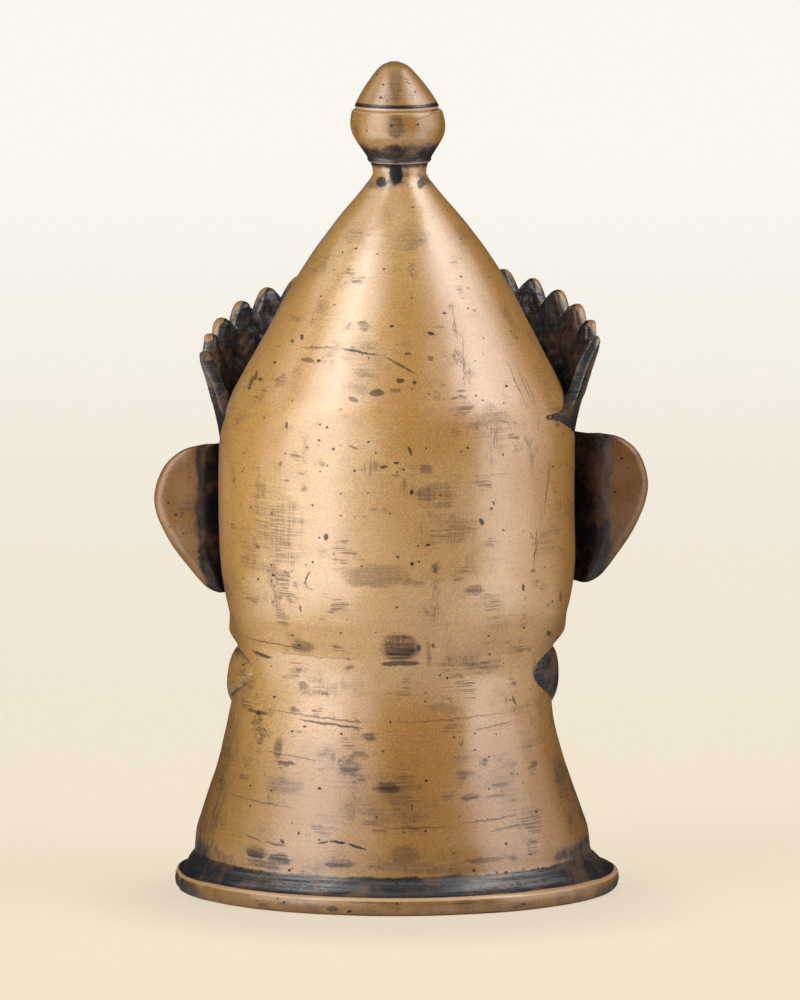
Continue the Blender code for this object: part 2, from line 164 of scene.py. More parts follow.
AXIS_DRIFT = (
    (0, 0.0019), (0.5 * NECK_LEVEL, 0.0024), (0.76 * NECK_LEVEL, 0.0028), (NECK_LEVEL, 0.0016),
    (NECK_LEVEL + 0.25 * HEAD_HEIGHT, -0.0004), (NECK_LEVEL + 0.75 * HEAD_HEIGHT, 0.0004),
    (SHOULDER_LEVEL + 0.4 * CAP_HEIGHT, -0.0012), (BUD_LEVEL, -0.0009), (TIP_LEVEL, 0.0013),
)

# Marks on the back, in millimetres and degrees: across (towards +X), level, half length,
# half width, lean, depth of tone. Scores are crisp and smudges are soft and hatched.
SCORES = (
    (33.5, 240.4, 8.3, 0.5, -4, 0.55), (15.6, 239.5, 9.9, 0.6, 9, 0.8), (-2, 234.1, 9.0, 0.6, 27, 0.7),
    (38, 235, 3.5, 1.1, 3, 0.6), (-2, 228, 2.2, 1.3, 0, 0.8), (-8, 227, 1.1, 1.1, 0, 0.8),
    (-5, 239, 1.7, 0.9, 0, 0.7), (-15, 237, 1.7, 1.3, 20, 0.55), (18, 220, 2.6, 1.3, 10, 0.6),
    (8, 223, 3.9, 1.7, -5, 0.7), (0, 224, 3.0, 1.1, 0, 0.45), (2, 250, 1.3, 0.7, 0, 0.9),
    (-15, 247, 1.7, 0.8, 15, 0.9), (41, 244, 1.1, 1.5, 0, 0.8), (45, 242, 0.9, 0.9, 0, 0.8),
    (47, 208, 0.7, 2.0, 0, 0.8), (50, 191, 0.7, 1.7, 10, 0.5), (-6, 199, 2.6, 0.7, 70, 0.8),
    (5, 192, 2.2, 0.7, 0, 0.8), (-7, 181, 1.0, 1.4, 0, 0.9), (18, 200, 2.6, 0.5, 12, 0.6),
    (30, 161, 1.1, 2.0, 0, 0.85), (63, 223, 3.9, 0.7, -72, 0.75), (61, 226, 2.6, 0.7, -72, 0.75),
    (59, 225, 1.7, 0.7, -10, 0.75), (-29, 235, 13.9, 0.3, 88, 0.55), (-25, 252, 8.7, 0.3, 82, 0.45),
    (-52, 224, 13.0, 0.3, 66, 0.5), (-55, 224, 11.3, 0.3, 66, 0.4), (-58, 220, 9.6, 0.3, 68, 0.4),
    (-37, 167, 2.0, 1.0, 70, 0.85), (-42, 175, 1.1, 0.7, 60, 0.8), (-65, 179, 15.6, 0.3, 96, 0.6),
    (-60, 153, 10.0, 0.3, 94, 0.7), (-55, 137, 2.0, 0.7, 80, 0.85), (-59, 144, 1.3, 0.9, 0, 0.6),
    (-7, 150, 1.1, 1.0, 0, 0.9), (-1, 153, 0.9, 1.0, 0, 0.8), (38, 143, 3.7, 0.5, -65, 0.8),
    (41, 129, 2.0, 0.6, 85, 0.75), (58, 106, 5.2, 1.0, 7, 0.8), (33, 108, 21.7, 0.4, 1, 0.35),
    (60, 81, 5.6, 1.0, 2, 0.7), (28, 79, 16.5, 0.7, 5, 0.75), (-2, 106, 10.0, 1.4, -1, 0.8),
    (-10, 113, 1.0, 1.7, -20, 0.8), (-16, 114, 0.9, 1.3, 0, 0.7), (-51, 87, 2.8, 0.8, 70, 0.65),
    (-42, 77, 10.4, 0.5, -8, 0.5), (49, 29, 1.7, 0.9, 40, 0.85), (61.9, 28.8, 4.3, 0.5, 13, 0.6),
    (51.9, 27.5, 5.9, 0.5, 1, 0.7), (31.1, 29.5, 3.2, 0.6, -13, 0.85), (24.6, 30.1, 4.2, 0.7, 2, 0.95),
    (16.5, 28.2, 4.8, 0.7, 19, 0.9), (-47, 34, 7.8, 0.7, -6, 0.5), (-66, 114, 2.0, 1.0, 70, 0.8),
    (-67, 103, 2.0, 1.3, 60, 0.85), (-71, 130, 3.3, 0.8, 88, 0.6), (6.1, 351, 0.8, 0.6, 20, 0.9),
    (7, 345.6, 0.9, 0.7, 0, 0.9), (4.3, 344, 0.7, 0.5, 30, 0.8), (-4, 353, 1.8, 0.35, 20, 0.8),
    (-5, 351.4, 1.6, 0.35, 24, 0.8), (-7.8, 348, 0.8, 0.5, 60, 0.8), (-9, 334.5, 1.0, 0.5, -30, 0.8),
    (-16, 339.2, 1.9, 0.9, -24, 0.8), (-12, 337.4, 5.0, 0.3, -16, 0.6), (0.5, 312.6, 3.4, 6.4, 0, 1.0),
    (6.8, 308.6, 2.6, 2.6, 0, 0.9), (-10.5, 308.4, 2.0, 3.6, 20, 0.8), (1.5, 321.6, 6.0, 4.4, 0, 0.9),
    (11.7, 320.2, 3.0, 3.0, 0, 0.9), (-11.7, 320.4, 3.0, 2.6, 0, 0.9), (61, 22.0, 4.0, 1.6, 4, 0.6),
    (51, 20.4, 6.0, 1.5, 4, 0.6), (26, 20.2, 5.0, 1.0, 0, 0.5), (53, 111.8, 16, 0.45, 3, 0.6),
    (32.6, 81.7, 25, 0.45, 4, 0.6), (-23.5, 81.2, 31, 0.4, -2, 0.45), (57.8, 43.9, 18, 0.4, 5, 0.5),
    (43.9, 64.4, 16, 0.4, 4, 0.5), (-8.7, 36.2, 16, 0.4, 0, 0.5), (-40.8, 38.2, 14, 0.45, -3, 0.6),
    (-38, 21.5, 10.0, 1.3, 0, 0.5), (27, 2.6, 3.2, 1.3, 0, 0.7), (10, 5.8, 14.0, 0.4, 0, 0.6),
    (-30, 5.2, 8.0, 0.35, 0, 0.5), (48, 4.2, 3.0, 0.5, -25, 0.6), (-55, 2.6, 6.0, 1.0, 0, 0.5),
)
SMUDGES_AND_BUD_SHADE = (
    # The first two rows paint shade: the dark band down the middle of the bud between its two highlights.
    (0.5, 350, 3.4, 9.0, 0, 0.55), (0.5, 333, 4.6, 7.0, 0, 0.75), (60, 23.0, 6.0, 3.6, 0, 0.9),
    (50, 21.5, 7.0, 3.0, 4, 0.9), (24, 21.0, 9.0, 2.4, 0, 0.7), (-4, 25.0, 8.0, 6.0, 0, 0.6),
    (40, 112, 6.0, 4.0, 6, 0.7), (20, 60, 6.0, 3.0, 0, 0.5), (-20, 86, 10.0, 2.4, 4, 0.4),
    (-13, 191, 3.9, 3.0, 20, 0.7), (-13, 180, 5.6, 3.9, 0, 0.5), (8, 145, 18.3, 6.5, 0, 0.5),
    (14, 142, 9.6, 2.6, 0, 0.5), (-4, 142, 10.4, 2.2, 1, 0.5), (-17, 148, 2.0, 2.6, 0, 0.8),
    (-17, 141, 1.3, 4.3, 0, 0.4), (-34, 138, 5.2, 3.0, 0, 0.8), (-2, 113, 10.6, 8.0, 0, 1.0),
    (-14, 111, 1.3, 8.7, 0, 0.5), (-37, 103, 10.4, 3.9, 4, 0.35), (20, 104, 3.0, 1.7, 0, 0.7),
    (40, 95, 3.5, 2.0, 10, 0.8), (31, 92, 3.0, 0.9, 3, 0.7), (44, 84, 3.0, 1.5, 0, 0.7),
    (11, 74, 3.5, 2.2, 0, 0.8), (51, 67, 2.2, 5.6, 10, 0.7), (47, 61, 5.6, 1.3, 0, 0.95),
    (27, 65, 1.7, 3.9, 0, 0.5), (48, 52, 10.4, 5.2, 0, 0.5), (3, 53, 6.1, 3.5, 8, 1.0),
    (-38, 62, 2.2, 2.6, 0, 0.8), (-30, 58, 5.6, 1.7, 4, 0.6), (-45, 52, 5.2, 1.7, 5, 0.7),
    (-32, 48, 5.6, 1.7, 0, 0.8), (56, 18, 9.6, 2.6, 8, 0.8), (-6, 20, 19.6, 3.0, 2, 0.45),
)

# Levels on the shell where black was left on, and where a thin edge is rubbed bright and carries a painted
# highlight line, as (level, half height, amount)
BLACK_LEVELS = (
    (0.0195, 0.0035, 0.16), (0.3095, 0.0062, 0.20), (0.3180, 0.0020, 0.40), (0.3222, 0.0050, 0.38),
    (0.3416, 0.0009, 0.80),
)
RUBBED_AND_HIGHLIGHT_LEVELS = ((0.0073, 0.0005, 0.30), (0.3167, 0.0004, 0.14), (0.3399, 0.0007, 0.34))


# Curves and humps that the forms are drawn with


def curve_through(points, at):
    """Value at a position on a smooth curve through rising (position, value) points."""
    at = min(max(at, points[0][0]), points[-1][0])
    last = len(points) - 1
    k = next(i for i in range(last) if at <= points[i + 1][0])

    def slope(i):
        before, after = points[max(i - 1, 0)], points[min(i + 1, last)]
        return (after[1] - before[1]) / (after[0] - before[0])

    (x0, y0), (x1, y1) = points[k], points[k + 1]
    width = x1 - x0
    t = (at - x0) / width
    return (
        y0 * (2 * t**3 - 3 * t**2 + 1)
        + slope(k) * width * (t**3 - 2 * t**2 + t)
        + y1 * (3 * t**2 - 2 * t**3)
        + slope(k + 1) * width * (t**3 - t**2)
    )


def ease(t):
    """Rises smoothly from 0 to 1 as t does."""
    t = min(max(t, 0), 1)
    return t * t * (3 - 2 * t)


def hump(*offsets):
    """A round hump of height 1 that falls off with each offset given in widths."""
    return math.exp(-sum(offset * offset for offset in offsets))


def roll(offset, half):
    """A half-round ridge of height 1 across an offset, gone past its half width."""
    return max(0, 1 - (offset / half) ** 2) ** 0.75 if half > 0 else 0


def spread(start, end, count):
    return [start + (end - start) * k / count for k in range(count + 1)]


def rows(start, end, step):
    return spread(start, end, max(1, round(abs(end - start) / step)))


# The turned shell


def shell_outline():
    """(level, radius) points of the turned shell from the flange up to the bud."""
    points = [
        (FLANGE_THICKNESS + share * FLARE_HEIGHT, NECK_RADIUS + swell * (FOOT_RADIUS - NECK_RADIUS))
        for share, swell in FLARE_SHAPE
    ]
    points += [
        (NECK_LEVEL + share * HEAD_HEIGHT, NECK_RADIUS + swell * (HEAD_RADIUS - NECK_RADIUS))
        for share, swell in HEAD_SHAPE
    ]
    points += [
        (SHOULDER_LEVEL + share * CAP_HEIGHT, CAP_NIP_RADIUS + swell * (HEAD_RADIUS - CAP_NIP_RADIUS))
        for share, swell in CAP_SHAPE
    ]
    points.append((SHOULDER_LEVEL + NIP_SHARE * CAP_HEIGHT, CAP_NIP_RADIUS))
    points.append((BUD_LEVEL, CAP_TIP_RADIUS))
    return points


SHELL_OUTLINE = shell_outline()
BUD_OUTLINE = (
    [(BUD_LEVEL, BUD_COLLAR_RADIUS - 0.0006), (BUD_LEVEL + 0.0008, BUD_COLLAR_RADIUS)]
    + [(BUD_LEVEL + share * BUD_HEIGHT, swell * BUD_RADIUS) for share, swell in BUD_SHAPE]
    + [(TIP_LEVEL, 0.08 * BUD_RADIUS)]
)


def shell_radius(level):
    return curve_through(SHELL_OUTLINE, level)


def drift(level):
    return curve_through(AXIS_DRIFT, level)


def on_shell(angle, radius, level):
    """Point at an angle from the face, positive towards +X, about the shell's own axis."""
    return Vector((radius * math.sin(angle) + drift(level), -radius * math.cos(angle), level))


def tilted(point):
    """Raises a point on the casting's own right and lowers one on its left."""
    return point + Vector((0, 0, -math.tan(HAND_TILT) * point.x))


# The face, in millimetres across the cheek and up from each feature's level


def face_mass(angle, level):
    """The broad head that the features sit on, in metres, and how far inside it a point is."""
    side = abs(angle)
    jaw_level = CHIN_LEVEL + JAW_RISE * (1 - math.cos(min(side, math.pi / 2)))
    inside = ease((level - jaw_level) / JAW_ROUND) * ease((math.radians(96) - side) / math.radians(14))
    inside *= ease((SHOULDER_LEVEL + 0.012 - level) / 0.016)
    cheek = JAW_RADIUS + (FACE_RADIUS - JAW_RADIUS) * ease(1 - side / math.radians(88))
    return inside * max(0, cheek - shell_radius(level)), inside


def features(across, level):
    """Nose, brow ridge, sockets, cheeks, muzzle and chin, shared with the part's source."""
    over_mouth, over_nose, over_eye, over_brow = (
        1000 * (level - feature) for feature in (MOUTH_LEVEL, NOSE_LEVEL, EYE_LEVEL, BROW_LEVEL)
    )
    bridge = 1000 * (BROW_LEVEL - NOSE_LEVEL)
    down_nose = min(max((bridge - over_nose) / bridge, 0), 1)
    nose = (1.5 + (1000 * NOSE_DEPTH - 1.5) * down_nose**1.3) * ease((over_nose + 3) / 5)
    return (
        nose * ease((bridge + 2 - over_nose) / 10) * hump(across / (4.5 + 4 * down_nose))
        + 6 * hump((across - 9.5) / 4.6, (over_nose - 3.5) / 4.5)
        + 1.6 * hump((across - 24) / 20, (over_brow + 1) / 6)
        - 2.6 * hump((across - 1000 * EYE_SPACING) / 14, over_eye / 9)
        + 2.6 * hump((across - 40) / 19, (over_nose - 14) / 15)
        + 3.6 * hump(across / 20, over_mouth / 12)
        - 1.8 * hump(across / 14, (over_mouth + 11.5) / 4)
        + 4.6 * hump(across / 13, (over_mouth + 22) / 8)
    )


def eye(across, over_eye):
    """A lidded eye: a ball behind an almond opening, with a ring for its iris."""
    out = across - 1000 * EYE_SPACING
    along = out / (1000 * EYE_HALF_WIDTH)
    up = over_eye - 0.08 * out
    almond = 1000 * EYE_HALF_HEIGHT * max(0, 1 - abs(along) ** 2.2) ** 0.85
    ends = ease((1.12 - abs(along)) / 0.2)
    off = abs(up) - almond
    lid = (3.9 if up > 0 else 3.3) * hump(max(off, 0) / (3.2 if up > 0 else 2.2))
    fold = 1.0 * hump((off - 3.6) / 1.1) if up > 0 else 0
    around = (lid - fold) * ends
    if almond <= 0.3 or off >= 0:
        return around
    ball = 3.1 * (1 - 0.55 * along * along) * (1 - 0.35 * (up / almond) ** 2)
    ring = math.hypot(out, up - 0.4)
    ball -= 0.35 * hump((ring - 4.6) / 0.5) + 0.5 * hump(ring / 1.3)
    return around + (ball - around) * ease(-off / 1.1)


def brow_line(across, over_brow):
    share = (across - 10) / 40
    if not -0.08 < share < 1.08:
        return 0
    arch = 7.5 * math.sin(math.pi * (0.15 + 0.75 * share)) - 4
    half = 2.2 * math.sqrt(max(0.05, 1 - (2 * share - 0.8) ** 2 / 1.5))
    return 1.7 * roll(over_brow - arch, half) * ease((share + 0.08) / 0.1) * ease((1.08 - share) / 0.2)


def lip(across, over_mouth, centre, bow, half_width, thick):
    share = across / half_width
    if share > 1:
        return 0
    middle = centre + bow * share * share + 1.6 * share**4
    half = thick * math.sqrt(max(0.06, 1 - share * share))
    return 0.85 * half * roll(over_mouth - middle, half)


def mouth(across, over_mouth):
    line = over_mouth + 0.4 + 0.5 * (across / 18) ** 2
    return (
        lip(across, over_mouth, 3.2, -3.0, 18.0, 2.9)
        + lip(across, over_mouth, -4.0, 3.4, 15.0, 3.3)
        - 0.9 * hump(line / 0.7) * ease((19 - across) / 4)
        - 0.7 * hump(across / 1.9) * ease((over_mouth - 5) / 3) * ease((17 - over_mouth) / 3)
        - 0.8 * hump((across - 19.5) / 2.2, (over_mouth - 0.6) / 2.2)
    )


def brow_eye(across, over_brow):
    """The upright almond in the middle of the forehead, with a rim round it."""
    up = (over_brow - 10) / 8.5
    half = 4.2 * max(0, 1 - abs(up) ** 2.2)
    if half < 0.2:
        return 0
    return 2.0 * roll(across, half) - 0.5 * hump((across - 0.55 * half) / 0.45) * ease(half / 2)


def face_relief(angle, level):
    """How far the finished face stands out from the turned shell."""
    mass, inside = face_mass(angle, level)
    if inside <= 0:
        return 0
    across = 1000 * abs(angle) * HEAD_RADIUS
    carved = features(across, level)
    carved += eye(across, 1000 * (level - EYE_LEVEL))
    carved += brow_line(across, 1000 * (level - BROW_LEVEL))
    carved += mouth(across, 1000 * (level - MOUTH_LEVEL))
    carved += brow_eye(across, 1000 * (level - BROW_LEVEL))
    over_nose = 1000 * (level - NOSE_LEVEL)
    carved -= 2.2 * hump((across - 6.2) / 2.2, (over_nose + 1.2) / 1.5)
    carved -= 1.2 * hump((across - 13.6) / 1.4, (over_nose - 4.5) / 4.2)
    return mass + 0.001 * carved * inside


def wobble(point, size, step):
    """The slight unevenness of a hand-finished casting."""
    return size * noise.noise(point / step)


# Meshes


def finished(name, bm, sharp=38):
    """Closes a bmesh into a smooth-shaded piece that rides on the part."""
    bmesh.ops.remove_doubles(bm, verts=bm.verts, dist=1e-6)
    bmesh.ops.recalc_face_normals(bm, faces=bm.faces)
    mesh = bpy.data.meshes.new(name)
    bm.to_mesh(mesh)
    bm.free()
    mesh.shade_smooth()
    mesh.set_sharp_from_angle(angle=math.radians(sharp))
    piece = bpy.data.objects.new(name, mesh)
    bpy.context.scene.collection.objects.link(piece)
    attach(piece, "root")
    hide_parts("mukhalinga")
    return piece


def sleeve(name, along, around, place, sharp=38):
    """A closed skin: a grid rolled into a tube by place(along, around), its ends filled."""
    bm = bmesh.new()
    bmesh.ops.create_grid(bm, x_segments=along, y_segments=around, size=0.5)
    for vertex in bm.verts:
        turn = vertex.co.y + 0.5
        vertex.co = place(vertex.co.x + 0.5, 0 if turn > 0.9999 else turn)
    bmesh.ops.remove_doubles(bm, verts=bm.verts, dist=1e-6)
    open_edges = [edge for edge in bm.edges if edge.is_boundary]
    bmesh.ops.holes_fill(bm, edges=open_edges, sides=0)
    return finished(name, bm, sharp)


def shell():
    """Cap, head, foot and flange in one hollow turning, with the face raised on it."""
    def inner_radius(level):
        slope = (shell_radius(level + 0.001) - shell_radius(level - 0.001)) / 0.002
        return shell_radius(level) - WALL * math.hypot(1, slope)

    top = BUD_LEVEL
    while inner_radius(top) < CAVITY_TIP_RADIUS:
        top -= 0.001
    roll_radius = FOOT_RADIUS + ROLL_REACH
    flange = (
        (0.0, FLANGE_RADIUS - 0.0016),
        (0.0005, FLANGE_RADIUS - 0.0009),
        (0.0013, FLANGE_RADIUS - 0.0004),
        (0.0036, FLANGE_RADIUS),
        (0.0062, FLANGE_RADIUS - 0.0003),
        (0.0071, FLANGE_RADIUS - 0.0009),
        (0.0078, FLANGE_RADIUS - 0.0022),
        (0.0079, FLANGE_RADIUS - 0.0036),
        (0.0080, roll_radius + 0.0022),
        (0.0086, roll_radius + 0.0010),
        (0.0100, roll_radius - 0.0002),
        (0.0116, roll_radius - 0.0012),
        (0.0132, roll_radius - 0.0026),
        (FILLET_TOP, shell_radius(FILLET_TOP) + 0.0004),
    )
    levels = rows(0.0165, CHIN_LEVEL - 0.004, PLAIN_ROW)
    levels += rows(CHIN_LEVEL - 0.003, SHOULDER_LEVEL + 0.012, FINE_ROW)
    levels += rows(SHOULDER_LEVEL + 0.014, BUD_LEVEL - 0.0004, PLAIN_ROW)
    bud = rows(BUD_LEVEL, TIP_LEVEL, 0.0005)
    line = [(0, top)] + [(inner_radius(level), level) for level in rows(top, FLANGE_THICKNESS, 0.006)]
    line += [(inner_radius(FLANGE_THICKNESS), 0)]
    line += [(radius, level) for level, radius in flange]
    line += [(shell_radius(level), level) for level in levels]
    line += [(curve_through(BUD_OUTLINE, level), level) for level in bud]
    line += [(0, TIP_LEVEL)]

    bm = bmesh.new()
    points = [bm.verts.new((0, -radius, level)) for radius, level in line]
    for low, high in zip(points, points[1:]):
        bm.edges.new((low, high))
    bmesh.ops.spin(
        bm, geom=bm.verts[:] + bm.edges[:], axis=(0, 0, 1), cent=(0, 0, 0),
        steps=SHELL_STEPS, angle=2 * math.pi, use_merge=True,
    )
    for vertex in bm.verts:
        x, y, level = vertex.co
        radius = math.hypot(x, y)
        angle = math.atan2(x, -y)
        angle -= CROWDING * math.sin(angle)
        outer = radius > shell_radius(level) - 0.5 * WALL
        if radius < 1e-6:
            vertex.co = on_shell(0, 0, level)
        elif level < FILLET_TOP:
            nearness = min(max((FLANGE_RADIUS - radius) / (FLANGE_RADIUS - FOOT_RADIUS), 0), 1)
            edge = Vector((math.sin(angle), -math.cos(angle), 0))
            worn = lift = 0
            if outer:
                worn = min(0, wobble(edge, 0.0009, 0.35) + wobble(edge, 0.0004, 0.09) - 0.0002)
                lift = wobble(edge, 0.0006, 0.30) * ease((level - 0.005) / 0.003)
            vertex.co = edge * (radius + worn * ease(1 - nearness))
            vertex.co += Vector((nearness * drift(level), 0, level + lift))
        else:
            point = on_shell(angle, radius, level)
            if outer:
                bump = wobble(point, CAST_WOBBLE, 0.022) + wobble(point, 0.4 * CAST_WOBBLE, 0.007)
                bump *= min(1, radius / 0.03)
                behind = ease((-math.cos(angle) - 0.1) / 0.6)
                bump += NAPE_FILL * behind * hump((level - NAPE_LEVEL) / 0.016)
                point = on_shell(angle, radius + face_relief(angle, level) + bump, level)
            vertex.co = point
    return finished("cast_shell", bm, sharp=50)


# The tiara


def tiara_end(angle):
    return TIARA_END_LEFT if angle > 0 else TIARA_END_RIGHT


def tooth_pitch(angle):
    return TOOTH_PITCH_LEFT if angle > 0 else TOOTH_PITCH_RIGHT


def tiara_foot(angle):
    """Level where the tiara leaves the shell: high on the brow, low over the ears."""
    side = abs(angle)
    dip = 0.011 * ease(side / math.radians(75))
    lift = 0.012 * ease((side - math.radians(84)) / (tiara_end(angle) - math.radians(84)))
    return SHOULDER_LEVEL + 0.005 - dip + lift


def tiara_rim(angle):
    """(level, radius) of the rim: a low crest, teeth, then a lip that dies into the shell."""
    side = abs(angle)
    pitch = tooth_pitch(angle)
    corner = pitch * TEETH_EACH_SIDE
    along = min(side, corner)
    level = SHOULDER_LEVEL + TIARA_TOP - TIARA_FALL * (1 - math.cos(along))
    tooth = abs(math.cos(math.pi * along / pitch))
    level -= TOOTH_DEPTH * (1 - tooth**1.15)
    crest = hump(side / pitch)
    level += CREST_RISE * crest
    radius = HEAD_RADIUS + TIARA_LEAN - TIARA_TUCK * (math.cos(along) ** 4 + crest)
    if side > corner:
        fading = max(0, 1 - (side - corner) / (tiara_end(angle) - corner)) ** 2.2
        foot = tiara_foot(angle)
        level = foot + 0.002 + (level - 0.003 - foot) * fading
        radius = shell_radius(level) + (radius - shell_radius(level)) * fading
    else:
        level += wobble(Vector((angle * 9, 3, 0)), 0.0009, 1)
        radius += wobble(Vector((angle * 9, 7, 0)), 0.0006, 1) - 0.0004
    return level, radius


def tiara_wall(angle, share, side):
    """Point on the tiara's outer face (side 0) or its inner face (side 1)."""
    foot = tiara_foot(angle)
    rim, rim_radius = tiara_rim(angle)
    foot_radius = shell_radius(foot)
    pitch = tooth_pitch(angle)
    ending = ease((BAND_END - abs(angle)) / pitch)
    petal = abs(math.cos(math.pi * angle / pitch))
    radius = foot_radius + (rim_radius - foot_radius) * share**1.3
    relief = PETAL_RELIEF * (petal**0.7 - 0.25) * ease((share - 0.3) / 0.2) * ending
    rib = 0.0006 * hump((petal - 1) / 0.012) * ease((share - 0.36) / 0.1) * ease((0.97 - share) / 0.1)
    if side:
        thickness = TIARA_THICKNESS - 0.0006 * ease((share - 0.6) / 0.4)
        rough = wobble(Vector((angle * 20, share * 5, 2)), 0.0007, 1)
        rough += wobble(Vector((angle * 40, share * 14, 5)), 0.0009, 1)
        return on_shell(angle, radius + 0.35 * relief - thickness + rough, foot + (rim - foot) * share)
    band = BAND_RELIEF * (ease(share / 0.07) - ease((share - 0.25) / 0.05)) * ending
    beads = 0.0007 * abs(math.sin(3 * math.pi * angle / pitch)) * hump((share - 0.16) / 0.05) * ending
    grooves = 0.0008 * (hump((share - 0.085) / 0.012) + hump((share - 0.235) / 0.012)) * ending
    return on_shell(angle, radius + relief + rib + band + beads - grooves, foot + (rim - foot) * share)


def tiara():
    """The toothed tiara, which stands clear of the cap and wraps three sides of it."""
    right_corner = TOOTH_PITCH_RIGHT * TEETH_EACH_SIDE
    left_corner = TOOTH_PITCH_LEFT * TEETH_EACH_SIDE
    lip_steps = 24
    half_steps = TOOTH_STEPS * TEETH_EACH_SIDE
    steps = 2 * (half_steps + lip_steps)
    up_steps, rim_steps = 44, 8
    around = 2 * up_steps + rim_steps

    def angle_at(along):
        k = (2 * along - 1) * (half_steps + lip_steps)
        corner, end = (left_corner, TIARA_END_LEFT) if k > 0 else (right_corner, TIARA_END_RIGHT)
        beyond = max(0, abs(k) - half_steps) / lip_steps
        angle = corner * min(abs(k) / half_steps, 1) + (end - corner) * beyond
        return math.copysign(angle, k)

    def place(along, turn):
        angle = angle_at(along)
        k = turn * around
        if k <= up_steps:
            share = k / up_steps * RIM_SHARE
            point = tiara_wall(angle, share, 0)
            if k == 0:
                foot = tiara_foot(angle)
                point = on_shell(angle, shell_radius(foot) - JOIN_DEPTH, foot - 0.001)
        elif k >= up_steps + rim_steps:
            share = (around - k) / up_steps * RIM_SHARE
            point = tiara_wall(angle, share, 1)
        else:
            over = math.pi * (k - up_steps) / rim_steps
            outer, inner = tiara_wall(angle, RIM_SHARE, 0), tiara_wall(angle, RIM_SHARE, 1)
            crown = tiara_wall(angle, 1.0, 0) - outer
            point = outer.lerp(inner, 0.5 - 0.5 * math.cos(over)) + crown * math.sin(over)
        return tilted(point)

    return sleeve("tiara", steps, around, place, sharp=60)


# The ears


def ear(side):
    """A leaf-shaped ear whose root turns forward to the head, hollowed in front."""
    half_turn = 30

    def place(along, turn):
        share = 0.5 - 0.5 * math.cos(math.pi * along)
        level = EYE_LEVEL + (share - EAR_WIDEST_SHARE) * EAR_HEIGHT
        reach = EAR_REACH * curve_through(EAR_SHAPE, share) - 0.0004
        half = EAR_THICKNESS / 2 * math.sqrt(max(0.03, 1 - abs(2 * share - 1) ** 6))
        root = -1.6 * JOIN_DEPTH
        ridge = 0.33 * EAR_REACH
        k = 2 * turn
        front = k > 1
        out_share = min(k, 2 - k)
        out = root + (reach - root) * (1 - (1 - out_share) ** 1.6)
        rounding = math.sqrt(max(0, 1 - max(0, (out - reach + 1.3 * half) / (1.3 * half)) ** 2))
        bend = min(ridge, 0.6 * max(reach - half, 0.001))
        middle = -EAR_SETBACK - 0.010 * ease((bend - out) / (bend + JOIN_DEPTH))
        middle += 0.0022 * ease(out / EAR_REACH)
        bulge = 0.0009 * hump((out - bend - 0.004) / 0.006)
        depth = middle + half * rounding * (-1 if front else 1) + (0 if front else bulge)
        if front:
            to_rim = min((reach - out) / 0.004, 12 * share, 12 * (1 - share))
            hollow = ease((to_rim - 0.6) / 1.2) * ease(reach / EAR_REACH)
            depth += 0.0030 * hollow * ease((out - 0.0005) / 0.004)
            fold = math.hypot((out - 0.012) / 0.011, (share - 0.58) / 0.24)
            depth -= 0.0017 * hump((fold - 1) / 0.16) * ease((out + 0.001) / 0.003)
        point = Vector((side * (HEAD_RADIUS + out) + EAR_SHIFT + drift(level), depth, level))
        point.y += wobble(point, 0.0005, 0.012)
        return tilted(point)

    return sleeve("ear_left" if side > 0 else "ear_right", 72, 2 * half_turn, place, sharp=70)


# The collar


def collar():
    """Two rolls, one over the other, that hug the shell: a beaded one and a ribbed one."""
    def place(along, turn):
        angle = -COLLAR_END + 2 * COLLAR_END * along
        side = abs(angle)
        fading = math.sqrt(max(0.03, 1 - (side / COLLAR_END) ** 5))
        centre = NECK_LEVEL + COLLAR_RISE - COLLAR_DROP * (0.5 + 0.5 * math.cos(side)) ** 3.2
        width = COLLAR_WIDTH * fading
        relief = COLLAR_RELIEF_SIDE + (COLLAR_RELIEF_FRONT - COLLAR_RELIEF_SIDE) * ease(1 - side / COLLAR_END)
        relief *= fading
        if turn > COLLAR_FRONT_SHARE:
            across = -0.5 + (turn - COLLAR_FRONT_SHARE) / (1 - COLLAR_FRONT_SHARE)
            sunk = -JOIN_DEPTH
        else:
            across = 0.5 - turn / COLLAR_FRONT_SHARE
            upper = roll(across - 0.25, 0.25)
            lower = roll(across + 0.24, 0.27)
            arc = angle * HEAD_RADIUS
            bead = 0.55 + 0.45 * abs(math.cos(math.pi * arc / 0.0075)) ** 0.7
            rib = 0.72 + 0.28 * abs(math.cos(math.pi * (arc / 0.0052 + 1.4 * across)))
            merged = ease((side - math.radians(55)) / math.radians(40))
            sunk = relief * max(upper * bead, 0.85 * lower * rib) - 0.0012 * (1 - max(upper, lower))
            sunk += merged * (relief * roll(across, 0.5) - 0.0003 - sunk)
        level = centre + across * width
        return on_shell(angle, shell_radius(level) + sunk, level)

    return sleeve("collar", 300, 38, place, sharp=60)


# Where the metal is shut in, and where it stands out


